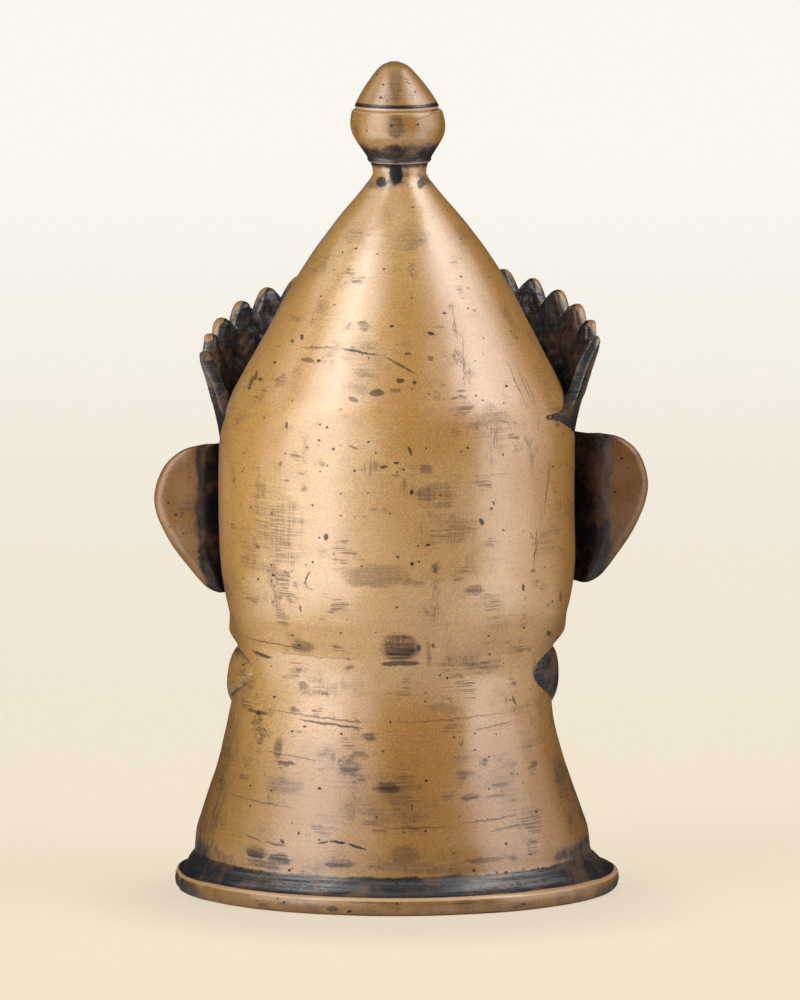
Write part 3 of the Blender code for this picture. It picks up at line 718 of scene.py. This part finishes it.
def black_patina_and_side_shade(name, point, normal):
    """Extra black where none was rubbed off: flange, bud, rear of the tiara, ears, collar; and painted shade
    as black on the shell's ±X sides low down.
    """
    across, back, level = point
    reach = point.xy.length
    if name == "cast_shell":
        if reach < shell_radius(level) - 0.5 * WALL:
            return 0
        black = sum(amount * hump((level - at) / half) for at, half, amount in BLACK_LEVELS)
        black += 0.85 * ease((level - 0.0084) / 0.0012) * ease((0.0168 - level) / 0.004)
        black += 0.66 * ease((level - 0.0074) / 0.0004) * ease((0.0092 - level) / 0.0010)
        black += 0.20 * ease((0.0066 - level) / 0.0008)
        # Painted shade: the shell's ±X sides, its outline as the camera sees it, get extra black below about
        # 0.125 m.
        side = abs(across) / reach if reach > 1e-6 else 0
        return black + 0.26 * ease((side - 0.76) / 0.22) * ease((0.125 - level) / 0.05)
    if name == "tiara":
        inward = -(across * normal.x + back * normal.y) / reach
        rear = ease((back + 0.022) / 0.016)
        return max(0.80 * ease(2.5 * inward), 0.62 * rear)
    if name == "collar":
        flat = 1 - abs(normal.z)
        edged = (1 - flat) ** 2
        return (0.42 * edged if across > 0 else 0.30 + 0.3 * edged) * ease((back + 0.005) / 0.012)
    out = abs(across - EAR_SHIFT - drift(level)) - HEAD_RADIUS
    black = 0.52 * ease((0.017 - out) / 0.015)
    return black + (0.18 if across < 0 else 0)


def tarnish_and_side_shade(name, point):
    """How brown the metal went where it was seldom rubbed, and painted shade as brown on the shell's ±X sides
    below the cap.
    """
    across, _, level = point
    if name.startswith("ear"):
        return 0.95 if across > 0 else 1.1
    if name != "cast_shell":
        return 0.35 if name == "collar" and across > 0 else 0.8
    side = abs(across) / max(point.xy.length, 1e-6)
    brown = 0.45 * ease((0.085 - level) / 0.04) + 0.35 * ease((0.0125 - level) / 0.004)
    brown += 0.55 * ease((level - BUD_LEVEL) / 0.002)
    # Painted shade: the shell's ±X sides, its outline as the camera sees it, are browned below about 0.215 m.
    return brown + 0.55 * ease((side - 0.86) / 0.16) * ease((0.215 - level) / 0.03)


def rubbed_and_painted_highlight(name, point):
    """Extra brightness along the thin edges that hands and cloths catch; on the shell it is also a painted
    highlight line along the flange rim, the bud's collar and its ledge.
    """
    across, back, level = point
    if name == "cast_shell":
        if point.xy.length < shell_radius(level) - 0.5 * WALL:
            return 0
        # Painted highlight: these levels lay bright lines along the flange rim, the bud's collar and the
        # bud's ledge, on top of rubbed wear.
        return sum(amount * hump((level - at) / half) for at, half, amount in RUBBED_AND_HIGHLIGHT_LEVELS)
    if name != "tiara":
        return 0
    angle = math.atan2(across - drift(level), -back)
    corner = tooth_pitch(angle) * TEETH_EACH_SIDE
    rim, _ = tiara_rim(angle)
    below = rim - (level + math.tan(HAND_TILT) * across)
    peak = abs(math.cos(math.pi * angle / tooth_pitch(angle))) ** 5 if abs(angle) < corner else 1
    return 0.16 * peak * hump(max(0, below - 0.0002) / 0.0012)


def weather(parts):
    """Stores on each vertex how sheltered it is, how sharply it stands out and how brown it is, with the
    painted shade on the shell's sides and the painted highlight lines added in.
    """
    whole = bmesh.new()
    for piece in parts:
        whole.from_mesh(piece.data)
    tree = BVHTree.FromBMesh(whole)
    whole.free()
    golden = math.pi * (3 - math.sqrt(5))
    directions = []
    for k in range(SHELTER_RAYS):
        z = 1 - 2 * (k + 0.5) / SHELTER_RAYS
        flat = math.sqrt(1 - z * z)
        directions.append(Vector((flat * math.cos(golden * k), flat * math.sin(golden * k), z)))
    for piece in parts:
        mesh = piece.data
        normals = [vertex.vector.copy() for vertex in mesh.vertex_normals]
        sheltered_and_side_shaded = []
        for vertex, normal in zip(mesh.vertices, normals):
            start = vertex.co + normal * 0.0005
            total = shut = 0
            for direction in directions:
                facing = direction.dot(normal)
                if facing > 0.12:
                    total += facing
                    hit = tree.ray_cast(start, direction, SHELTER_REACH)
                    if hit[0] is not None:
                        shut += facing * (1 - 0.7 * hit[3] / SHELTER_REACH)
            sheltered_and_side_shaded.append(shut / total if total else 0)
        for k, (vertex, normal) in enumerate(zip(mesh.vertices, normals)):
            sheltered_and_side_shaded[k] += black_patina_and_side_shade(piece.name, vertex.co, normal)
        bm = bmesh.new()
        bm.from_mesh(mesh)
        proud = []
        for vertex, normal in zip(bm.verts, normals):
            edges = vertex.link_edges
            length = sum(edge.calc_length() for edge in edges) / len(edges)
            middle = sum((edge.other_vert(vertex).co for edge in edges), Vector()) / len(edges)
            proud.append((vertex.co - middle).dot(normal) / length + rubbed_and_painted_highlight(piece.name, vertex.co))
        bm.free()
        browned = [tarnish_and_side_shade(piece.name, vertex.co) for vertex in mesh.vertices]
        for name, values in (("shelter_and_side_shade", sheltered_and_side_shaded), ("proud", proud), ("tarnish_and_side_shade", browned)):
            layer = mesh.attributes.new(name=name, type="FLOAT", domain="POINT")
            layer.data.foreach_set("value", values)


# Materials


def join(tree, value, socket):
    """Links a socket into another, or sets it to a plain value."""
    if isinstance(value, bpy.types.NodeSocket):
        tree.links.new(value, socket)
    else:
        socket.default_value = value


def put(tree, kind, inputs=(), **settings):
    """Adds a shader node with its settings and inputs, and returns the node."""
    node = tree.nodes.new("ShaderNode" + kind)
    for name, value in settings.items():
        setattr(node, name, value)
    for key, value in dict(inputs).items():
        join(tree, value, node.inputs[key])
    return node


def maths(tree, operation, a, b=0.0, c=0.0, clamp=False):
    node = put(tree, "Math", {0: a, 1: b, 2: c}, operation=operation, use_clamp=clamp)
    return node.outputs[0]


def times(tree, a, b, clamp=False):
    return maths(tree, "MULTIPLY", a, b, clamp=clamp)


def span(tree, value, low, high, to_low=0.0, to_high=1.0):
    """Maps a value from one range to another with a smooth step."""
    node = put(
        tree, "MapRange",
        {"Value": value, "From Min": low, "From Max": high, "To Min": to_low, "To Max": to_high},
        interpolation_type="SMOOTHSTEP",
    )
    return node.outputs["Result"]


def blend(tree, share, a, b, mode="MIX"):
    node = put(tree, "Mix", data_type="RGBA", blend_type=mode)
    join(tree, share, node.inputs[0])
    join(tree, a, node.inputs[6])
    join(tree, b, node.inputs[7])
    return node.outputs[2]


def cloud(tree, place, stretch, scale, detail=4.0, rough=0.6, turn=(0.0, 0.0, 0.0)):
    """Noise over object coordinates, stretched by a scale for each axis."""
    mapping = put(tree, "Mapping", {"Vector": place, "Scale": stretch, "Rotation": turn})
    node = put(
        tree, "TexNoise",
        {"Vector": mapping.outputs[0], "Scale": scale, "Detail": detail, "Roughness": rough},
    )
    return node.outputs["Fac"]


def group(name, inputs, outputs):
    """An empty shader node group with named float, vector and colour sockets."""
    tree = bpy.data.node_groups.new(name, "ShaderNodeTree")
    for socket, kind in inputs:
        tree.interface.new_socket(socket, in_out="INPUT", socket_type="NodeSocket" + kind)
    for socket, kind in outputs:
        tree.interface.new_socket(socket, in_out="OUTPUT", socket_type="NodeSocket" + kind)
    return tree, tree.nodes.new("NodeGroupInput").outputs, tree.nodes.new("NodeGroupOutput").inputs


def scuffs_group():
    """Rubbing marks: dark patches made of fine flat or upright lines, and a fine grain."""
    tree, given, made = group(
        "scuffs", [("Place", "Vector"), ("Low", "Float")],
        [("Patch", "Float"), ("Smear", "Float"), ("Lines", "Float"), ("Grain", "Float")],
    )
    place = given["Place"]
    flat_lines = span(tree, cloud(tree, place, (34, 34, 1700), 1.0, 2.0, 0.6, (0.01, 0.015, 0.0)), 0.42, 0.58)
    broken = span(tree, cloud(tree, place, (70, 70, 900), 1.0, 3.0, 0.7), 0.40, 0.62)
    upright = span(tree, cloud(tree, place, (1700, 1700, 34), 1.0, 2.0, 0.6, (0.02, 0.03, 0.0)), 0.40, 0.60)
    raised = times(tree, given["Low"], 0.05)
    wide = maths(tree, "ADD", cloud(tree, place, (30, 30, 40), 1.0, 4.0, 0.62), raised)
    small = maths(tree, "ADD", cloud(tree, place, (60, 60, 90), 1.0, 3.0, 0.6), raised)
    tall = cloud(tree, place, (64, 64, 36), 1.0, 3.0, 0.6, (0.3, 0.2, 0.1))
    crossed = maths(tree, "MULTIPLY_ADD", upright, 0.5, 0.5)
    weave = times(tree, maths(tree, "MAXIMUM", flat_lines, broken), crossed)
    flat_patch = times(tree, span(tree, wide, 0.55, 0.70), weave)
    small_patch = times(tree, span(tree, small, 0.61, 0.70), flat_lines)
    tall_patch = times(tree, span(tree, tall, 0.60, 0.70), upright)
    patch = maths(tree, "MAXIMUM", flat_patch, maths(tree, "MAXIMUM", small_patch, tall_patch))
    blotch = cloud(tree, place, (36, 36, 62), 1.0, 5.0, 0.7, (0.1, 0.4, 0.2))
    deep = span(tree, maths(tree, "ADD", blotch, raised), 0.665, 0.73)
    join(tree, patch, made["Patch"])
    join(tree, times(tree, deep, maths(tree, "MULTIPLY_ADD", broken, 0.5, 0.5)), made["Smear"])
    join(tree, maths(tree, "MAXIMUM", flat_lines, times(tree, upright, 0.7)), made["Lines"])
    join(tree, cloud(tree, place, (1, 1, 1), 1500, 2.0, 0.7), made["Grain"])
    return tree


def pits_group():
    """Small black casting pits, a few of them long, with bare metal between."""
    tree, given, made = group("pits", [("Place", "Vector"), ("Share", "Float")], [("Pit", "Float")])
    place = given["Place"]
    warp = put(tree, "TexNoise", {"Vector": place, "Scale": 420.0, "Detail": 2.0})
    moved = put(
        tree, "MixRGB", {"Fac": 0.0016, "Color1": place, "Color2": warp.outputs["Color"]},
        blend_type="ADD",
    )
    sizes = ((150, 0.10, 1.7), (330, 0.13, 1.2))
    total = 0.0
    for scale, size, stretch in sizes:
        mapping = put(tree, "Mapping", {"Vector": moved.outputs[0], "Scale": (1, 1, stretch)})
        cells = put(tree, "TexVoronoi", {"Vector": mapping.outputs[0], "Scale": float(scale)})
        chance = put(tree, "SeparateColor", {"Color": cells.outputs["Color"]})
        chosen = maths(tree, "LESS_THAN", chance.outputs[0], given["Share"])
        dot = span(tree, cells.outputs["Distance"], size, 1.9 * size, 1.0, 0.0)
        total = maths(tree, "MAXIMUM", times(tree, dot, chosen), total)
    join(tree, total, made["Pit"])
    return tree


def patina_group():
    """Black and brown patina that gathers in sheltered metal, with the painted shade on the shell's sides
    added in, and bare metal on proud edges, which also carries the painted highlight lines.
    """
    tree, given, made = group(
        "patina",
        [("Place", "Vector"), ("ShelterAndSideShade", "Float"), ("Proud", "Float"), ("Amount", "Float")],
        [("Patina", "Float"), ("BareAndHighlight", "Float")],
    )
    place = given["Place"]
    ragged = cloud(tree, place, (1, 1, 1), 70, 6.0, 0.68)
    streaked = cloud(tree, place, (1, 1, 0.35), 260, 3.0, 0.6)
    uneven = maths(tree, "MULTIPLY_ADD", ragged, 0.55, maths(tree, "MULTIPLY_ADD", streaked, 0.30, -0.43))
    level = maths(tree, "ADD", maths(tree, "ADD", given["ShelterAndSideShade"], uneven), given["Amount"])
    bare_and_highlight = span(tree, maths(tree, "ADD", given["Proud"], times(tree, uneven, 0.12)), 0.05, 0.22)
    patina = span(tree, maths(tree, "SUBTRACT", level, times(tree, bare_and_highlight, 0.45)), 0.16, 0.44)
    join(tree, patina, made["Patina"])
    join(tree, bare_and_highlight, made["BareAndHighlight"])
    return tree


def marks_group():
    """The scores and smudges of the tables, each a stretched and leaning spot of tone; two smudges on the bud
    are painted shade.
    """
    tree, given, made = group(
        "marks", [("Place", "Vector"), ("Hatch", "Float")], [("Score", "Float"), ("SmudgeAndShade", "Float")]
    )
    place = given["Place"]
    ragged = put(tree, "TexNoise", {"Vector": place, "Scale": 190.0, "Detail": 6.0, "Roughness": 0.78})
    shift = put(tree, "VectorMath", {0: ragged.outputs["Color"], 1: (0.5, 0.5, 0.5)}, operation="SUBTRACT")
    back = span(tree, put(tree, "SeparateXYZ", {0: place}).outputs[1], 0.0, 0.01)
    kinds = (("Score", SCORES, 0.32, 0.0030), ("SmudgeAndShade", SMUDGES_AND_BUD_SHADE, 0.50, 0.0062))
    for output, table, crisp, stray in kinds:
        strayed = put(tree, "VectorMath", {0: shift.outputs[0], "Scale": stray}, operation="SCALE")
        moved = put(tree, "VectorMath", {0: place, 1: strayed.outputs[0]}, operation="ADD").outputs[0]
        total = 0.0
        for across, level, half_length, half_width, lean, tone in table:
            spot = put(tree, "TexGradient", {"Vector": moved}, gradient_type="SPHERICAL")
            framing = spot.texture_mapping
            framing.vector_type = "TEXTURE"
            framing.translation = (0.001 * across, 0, 0.001 * level)
            framing.rotation = (0, -math.radians(lean), 0)
            framing.scale = (0.001 * half_length, 100, 0.001 * half_width)
            total = maths(tree, "MAXIMUM", total, span(tree, spot.outputs["Fac"], 0.0, crisp, 0.0, tone))
        total = times(tree, total, back)
        if output == "SmudgeAndShade":
            total = times(tree, total, maths(tree, "MULTIPLY_ADD", given["Hatch"], 0.5, 0.5))
        join(tree, total, made[output])
    return tree


def place_group(tree, shared, inputs):
    node = tree.nodes.new("ShaderNodeGroup")
    node.node_tree = shared
    for key, value in inputs.items():
        join(tree, value, node.inputs[key])
    return node.outputs


GOLD = (0.720, 0.392, 0.092, 1)
TAN = (0.600, 0.275, 0.046, 1)
UMBER = (0.110, 0.058, 0.030, 1)
SOOT = (0.012, 0.011, 0.014, 1)
# Colour of bare metal on proud edges; on the shell it also paints the highlight lines along the flange rim,
# the bud's collar and its ledge.
WORN_EDGE_AND_HIGHLIGHT = (0.80, 0.50, 0.24, 1)
BROWN = (0.270, 0.118, 0.022, 1)
SMUDGE_AND_SHADE_BROWN = (0.070, 0.036, 0.026, 1)
RUBBED_BROWN = (0.470, 0.250, 0.085, 1)


def brass(name, groups, darkness, amount, pit_share, worn):
    """Old brass: rubbed gold over tan, scuffs, pits and black patina in the hollows."""
    scuffs, pits, patina, marks = groups
    material = bpy.data.materials.new(name)
    material.use_nodes = True
    tree = material.node_tree
    shader = tree.nodes["Principled BSDF"]
    place = put(tree, "TexCoord").outputs["Object"]
    sides = put(tree, "SeparateXYZ", {0: place}).outputs
    low = span(tree, sides[2], 0.30, 0.02)
    shelter_and_side_shade = put(tree, "Attribute", attribute_name="shelter_and_side_shade").outputs["Fac"]
    proud = put(tree, "Attribute", attribute_name="proud").outputs["Fac"]
    tarnish_and_side_shade_fac = put(tree, "Attribute", attribute_name="tarnish_and_side_shade").outputs["Fac"]
    scuff = place_group(tree, scuffs, {"Place": place, "Low": low})
    pit = place_group(tree, pits, {"Place": place, "Share": pit_share})["Pit"]
    aged = place_group(
        tree, patina, {"Place": place, "ShelterAndSideShade": shelter_and_side_shade, "Proud": proud, "Amount": amount}
    )

    leaning = maths(tree, "MULTIPLY_ADD", sides[0], -2.2, cloud(tree, place, (1, 1, 0.6), 13, 3.0, 0.6))
    warm = span(tree, leaning, 0.36, 0.66)
    metal = blend(tree, warm, GOLD, TAN)
    mottled = span(tree, cloud(tree, place, (1, 1, 1), 48, 5.0, 0.7), 0.38, 0.68)
    metal = blend(tree, times(tree, mottled, 0.35), metal, TAN)
    grain = span(tree, scuff["Grain"], 0.32, 0.68, 0.80, 1.18)
    metal = blend(tree, times(tree, tarnish_and_side_shade_fac, 0.92, clamp=True), metal, BROWN)
    grain = maths(tree, "MULTIPLY_ADD", scuff["Lines"], -0.07, grain)
    metal = blend(tree, 1.0, metal, grain, "MULTIPLY")
    metal = blend(tree, times(tree, scuff["Patch"], darkness), metal, UMBER)
    metal = blend(tree, times(tree, scuff["Smear"], 1.3 * darkness, clamp=True), metal, UMBER)
    if name == "burnished_brass":
        mark = place_group(tree, marks, {"Place": place, "Hatch": scuff["Lines"]})
        # Smudges, and the painted shade down the middle of the bud.
        metal = blend(tree, mark["SmudgeAndShade"], metal, SMUDGE_AND_SHADE_BROWN)
        metal = blend(tree, mark["Score"], metal, SOOT)
    # Bare metal on proud edges, and painted highlight lines on the shell's thin edges.
    metal = blend(tree, times(tree, aged["BareAndHighlight"], 0.75), metal, worn)
    dark = blend(tree, span(tree, mottled, 0.2, 0.9), SOOT, UMBER)
    metal = blend(tree, aged["Patina"], metal, dark)
    metal = blend(tree, times(tree, pit, 0.9), metal, SOOT)
    join(tree, metal, shader.inputs["Base Color"])

    marked = maths(tree, "MAXIMUM", scuff["Patch"], scuff["Smear"])
    dull = times(tree, marked, darkness)
    if name == "burnished_brass":
        dull = maths(tree, "MAXIMUM", dull, maths(tree, "MAXIMUM", mark["SmudgeAndShade"], mark["Score"]))
    scratched = maths(tree, "MULTIPLY_ADD", scuff["Lines"], -0.45, 0.90)
    black_dull = times(tree, aged["Patina"], scratched)
    dull = maths(tree, "MAXIMUM", times(tree, dull, 0.90), black_dull)
    dull = maths(tree, "MAXIMUM", dull, times(tree, tarnish_and_side_shade_fac, 0.62))
    dull = maths(tree, "MAXIMUM", dull, times(tree, pit, 0.9))
    rough = maths(tree, "MULTIPLY_ADD", marked, 0.04, 0.60)
    rough = maths(tree, "MULTIPLY_ADD", maths(tree, "SUBTRACT", mottled, 0.5), 0.05, rough)
    join(tree, maths(tree, "MULTIPLY_ADD", aged["Patina"], 0.06, rough), shader.inputs["Roughness"])
    metallic = maths(tree, "MULTIPLY_ADD", aged["Patina"], -0.20, 0.35)
    join(tree, metallic, shader.inputs["Metallic"])
    join(tree, maths(tree, "SUBTRACT", 1.0, dull), shader.inputs["Coat Weight"])
    join(tree, maths(tree, "MULTIPLY_ADD", dull, -0.38, 0.5), shader.inputs["Specular IOR Level"])
    shader.inputs["Coat Roughness"].default_value = 0.27
    shader.inputs["Coat IOR"].default_value = 2.4

    lumps = cloud(tree, place, (1, 1, 1), 170, 5.0, 0.65)
    height = times(tree, scuff["Grain"], 0.10)
    height = maths(tree, "MULTIPLY_ADD", marked, -0.14, height)
    height = maths(tree, "MULTIPLY_ADD", pit, -0.9, height)
    height = maths(tree, "MULTIPLY_ADD", times(tree, lumps, aged["Patina"]), 3.4, height)
    bump = put(tree, "Bump", {"Height": height, "Strength": 0.6, "Distance": 0.0006})
    join(tree, bump.outputs[0], shader.inputs["Normal"])
    return material


def dress(parts):
    groups = scuffs_group(), pits_group(), patina_group(), marks_group()
    smooth = brass("burnished_brass", groups, 0.68, -0.02, 0.07, WORN_EDGE_AND_HIGHLIGHT)
    worked = brass("patinated_brass", groups, 0.6, 0.16, 0.08, RUBBED_BROWN)
    for piece in parts:
        plain = piece.name in ("cast_shell", "ear_left", "ear_right")
        piece.data.materials.append(smooth if plain else worked)


# The setting


FLOOR_NEAR = (0.745, 0.640, 0.468, 1)
FLOOR_FAR = (1.0, 0.98, 0.92, 1)
FLOOR_GLOW = 0.93
SEEN_GREY = (0.22, 0.205, 0.185, 1)
MIRRORED_NEAR = (0.06, 0.055, 0.05, 1)
MIRRORED_FAR = (0.78, 0.76, 0.72, 1)


def floor():
    """A pale floor that runs far back and grows lighter with distance, with a painted contact shadow near the
    foot.
    """
    bm = bmesh.new()
    bmesh.ops.create_grid(bm, x_segments=1, y_segments=1, size=14)
    mesh = bpy.data.meshes.new("floor")
    bm.to_mesh(mesh)
    bm.free()
    sheet = bpy.data.objects.new("floor", mesh)
    bpy.context.scene.collection.objects.link(sheet)
    material = bpy.data.materials.new("pale_floor")
    material.use_nodes = True
    tree = material.node_tree
    shader = tree.nodes["Principled BSDF"]
    place = put(tree, "SeparateXYZ", {0: put(tree, "TexCoord").outputs["Object"]})
    far = span(tree, place.outputs[1], 0.9, -3.8)
    tint = blend(tree, far, FLOOR_NEAR, FLOOR_FAR)
    # Painted contact shadow: the glow is dimmed to 0.84 within 0.075 m of a point 0.055 m from the axis
    # towards the camera, fading out by 0.155 m.
    forward = maths(tree, "SUBTRACT", place.outputs[1], 0.055)
    flat = put(tree, "CombineXYZ", {0: place.outputs[0], 1: forward}).outputs[0]
    away = put(tree, "VectorMath", {0: flat}, operation="LENGTH").outputs["Value"]
    shade = span(tree, away, 0.075, 0.155, 0.84, 1.0)
    tint = blend(tree, 1.0, tint, shade, "MULTIPLY")
    seen = put(tree, "LightPath").outputs["Is Camera Ray"]
    behind = span(tree, place.outputs[1], 0.25, -0.45)
    around_it = blend(tree, behind, MIRRORED_FAR, MIRRORED_NEAR)
    join(tree, blend(tree, seen, around_it, SEEN_GREY), shader.inputs["Base Color"])
    join(tree, tint, shader.inputs["Emission Color"])
    join(tree, times(tree, seen, FLOOR_GLOW), shader.inputs["Emission Strength"])
    shader.inputs["Roughness"].default_value = 0.9
    shader.inputs["Specular IOR Level"].default_value = 0.1
    mesh.materials.append(material)


# A tent of soft panels. Each is (degrees from the camera's side, positive to picture left;
# rise in degrees, where None lies on the floor; brightness).
PANELS = (
    (22, 12, 0.87), (44, 12, 2.27), (66, 12, 1.84), (88, 12, 0.35), (22, 47, 0.12), (44, 47, 1.75),
    (66, 47, 2.55), (110, 47, 0.90), (44, None, 1.76), (66, None, 1.45), (88, None, 0.64),
    (-66, 12, 1.64), (-88, 12, 1.28), (-110, 12, 0.45), (-44, 47, 0.36), (-66, 47, 1.95),
    (-88, 47, 2.07), (-110, 47, 1.05), (-66, None, 1.00), (-110, None, 0.25), (0, 85, 0.60),
)
PANEL_SIZE = (0.70, 1.13)
PANEL_DISTANCE = 1.8
PANEL_CENTRE = (0, 0, 0.15)
FLOOR_PANEL_SIZE = (0.34, 1.0)
FLOOR_PANEL_DISTANCE = 0.85
AMBIENT = 0.04


def panel(turn, rise, glow):
    """One soft panel of the tent, turned to the part or lying on the floor beside it."""
    light = bpy.data.lights.new("soft_panel", "AREA")
    light.shape = "RECTANGLE"
    light.size, light.size_y = FLOOR_PANEL_SIZE if rise is None else PANEL_SIZE
    light.energy = math.pi * light.size * light.size_y * glow
    stand = bpy.data.objects.new("soft_panel", light)
    bpy.context.scene.collection.objects.link(stand)
    stand.visible_camera = False
    turn = math.radians(turn)
    if rise is None:
        stand.location = (
            FLOOR_PANEL_DISTANCE * math.sin(turn), FLOOR_PANEL_DISTANCE * math.cos(turn), 0.01
        )
        stand.rotation_euler = (math.pi, 0, -turn)
        return
    rise = math.radians(rise)
    away = Vector((math.sin(turn) * math.cos(rise), math.cos(turn) * math.cos(rise), math.sin(rise)))
    stand.location = away * PANEL_DISTANCE + Vector(PANEL_CENTRE)
    stand.rotation_mode = "QUATERNION"
    stand.rotation_quaternion = (-away).to_track_quat("-Z", "Y")


def lights():
    for turn, rise, glow in PANELS:
        panel(turn, rise, glow)
    world = bpy.data.worlds.new("studio")
    world.use_nodes = True
    background = world.node_tree.nodes["Background"]
    background.inputs["Color"].default_value = (1.0, 1.0, 1.0, 1)
    background.inputs["Strength"].default_value = AMBIENT
    bpy.context.scene.world = world
    bpy.context.scene.view_settings.view_transform = "Standard"


def camera():
    data = bpy.data.cameras.new("camera")
    data.lens = CAMERA_LENS
    data.clip_end = 60
    eye_piece = bpy.data.objects.new("camera", data)
    bpy.context.scene.collection.objects.link(eye_piece)
    back = Vector((
        math.sin(CAMERA_AZIMUTH) * math.cos(CAMERA_PITCH),
        -math.cos(CAMERA_AZIMUTH) * math.cos(CAMERA_PITCH),
        math.sin(CAMERA_PITCH),
    ))
    eye_piece.location = Vector(AIM) + back * CAMERA_DISTANCE
    eye_piece.rotation_mode = "QUATERNION"
    eye_piece.rotation_quaternion = (-back).to_track_quat("-Z", "Y")
    bpy.context.scene.camera = eye_piece


parts = [shell(), tiara(), ear(1), ear(-1), collar()]
weather(parts)
dress(parts)
floor()
lights()
camera()
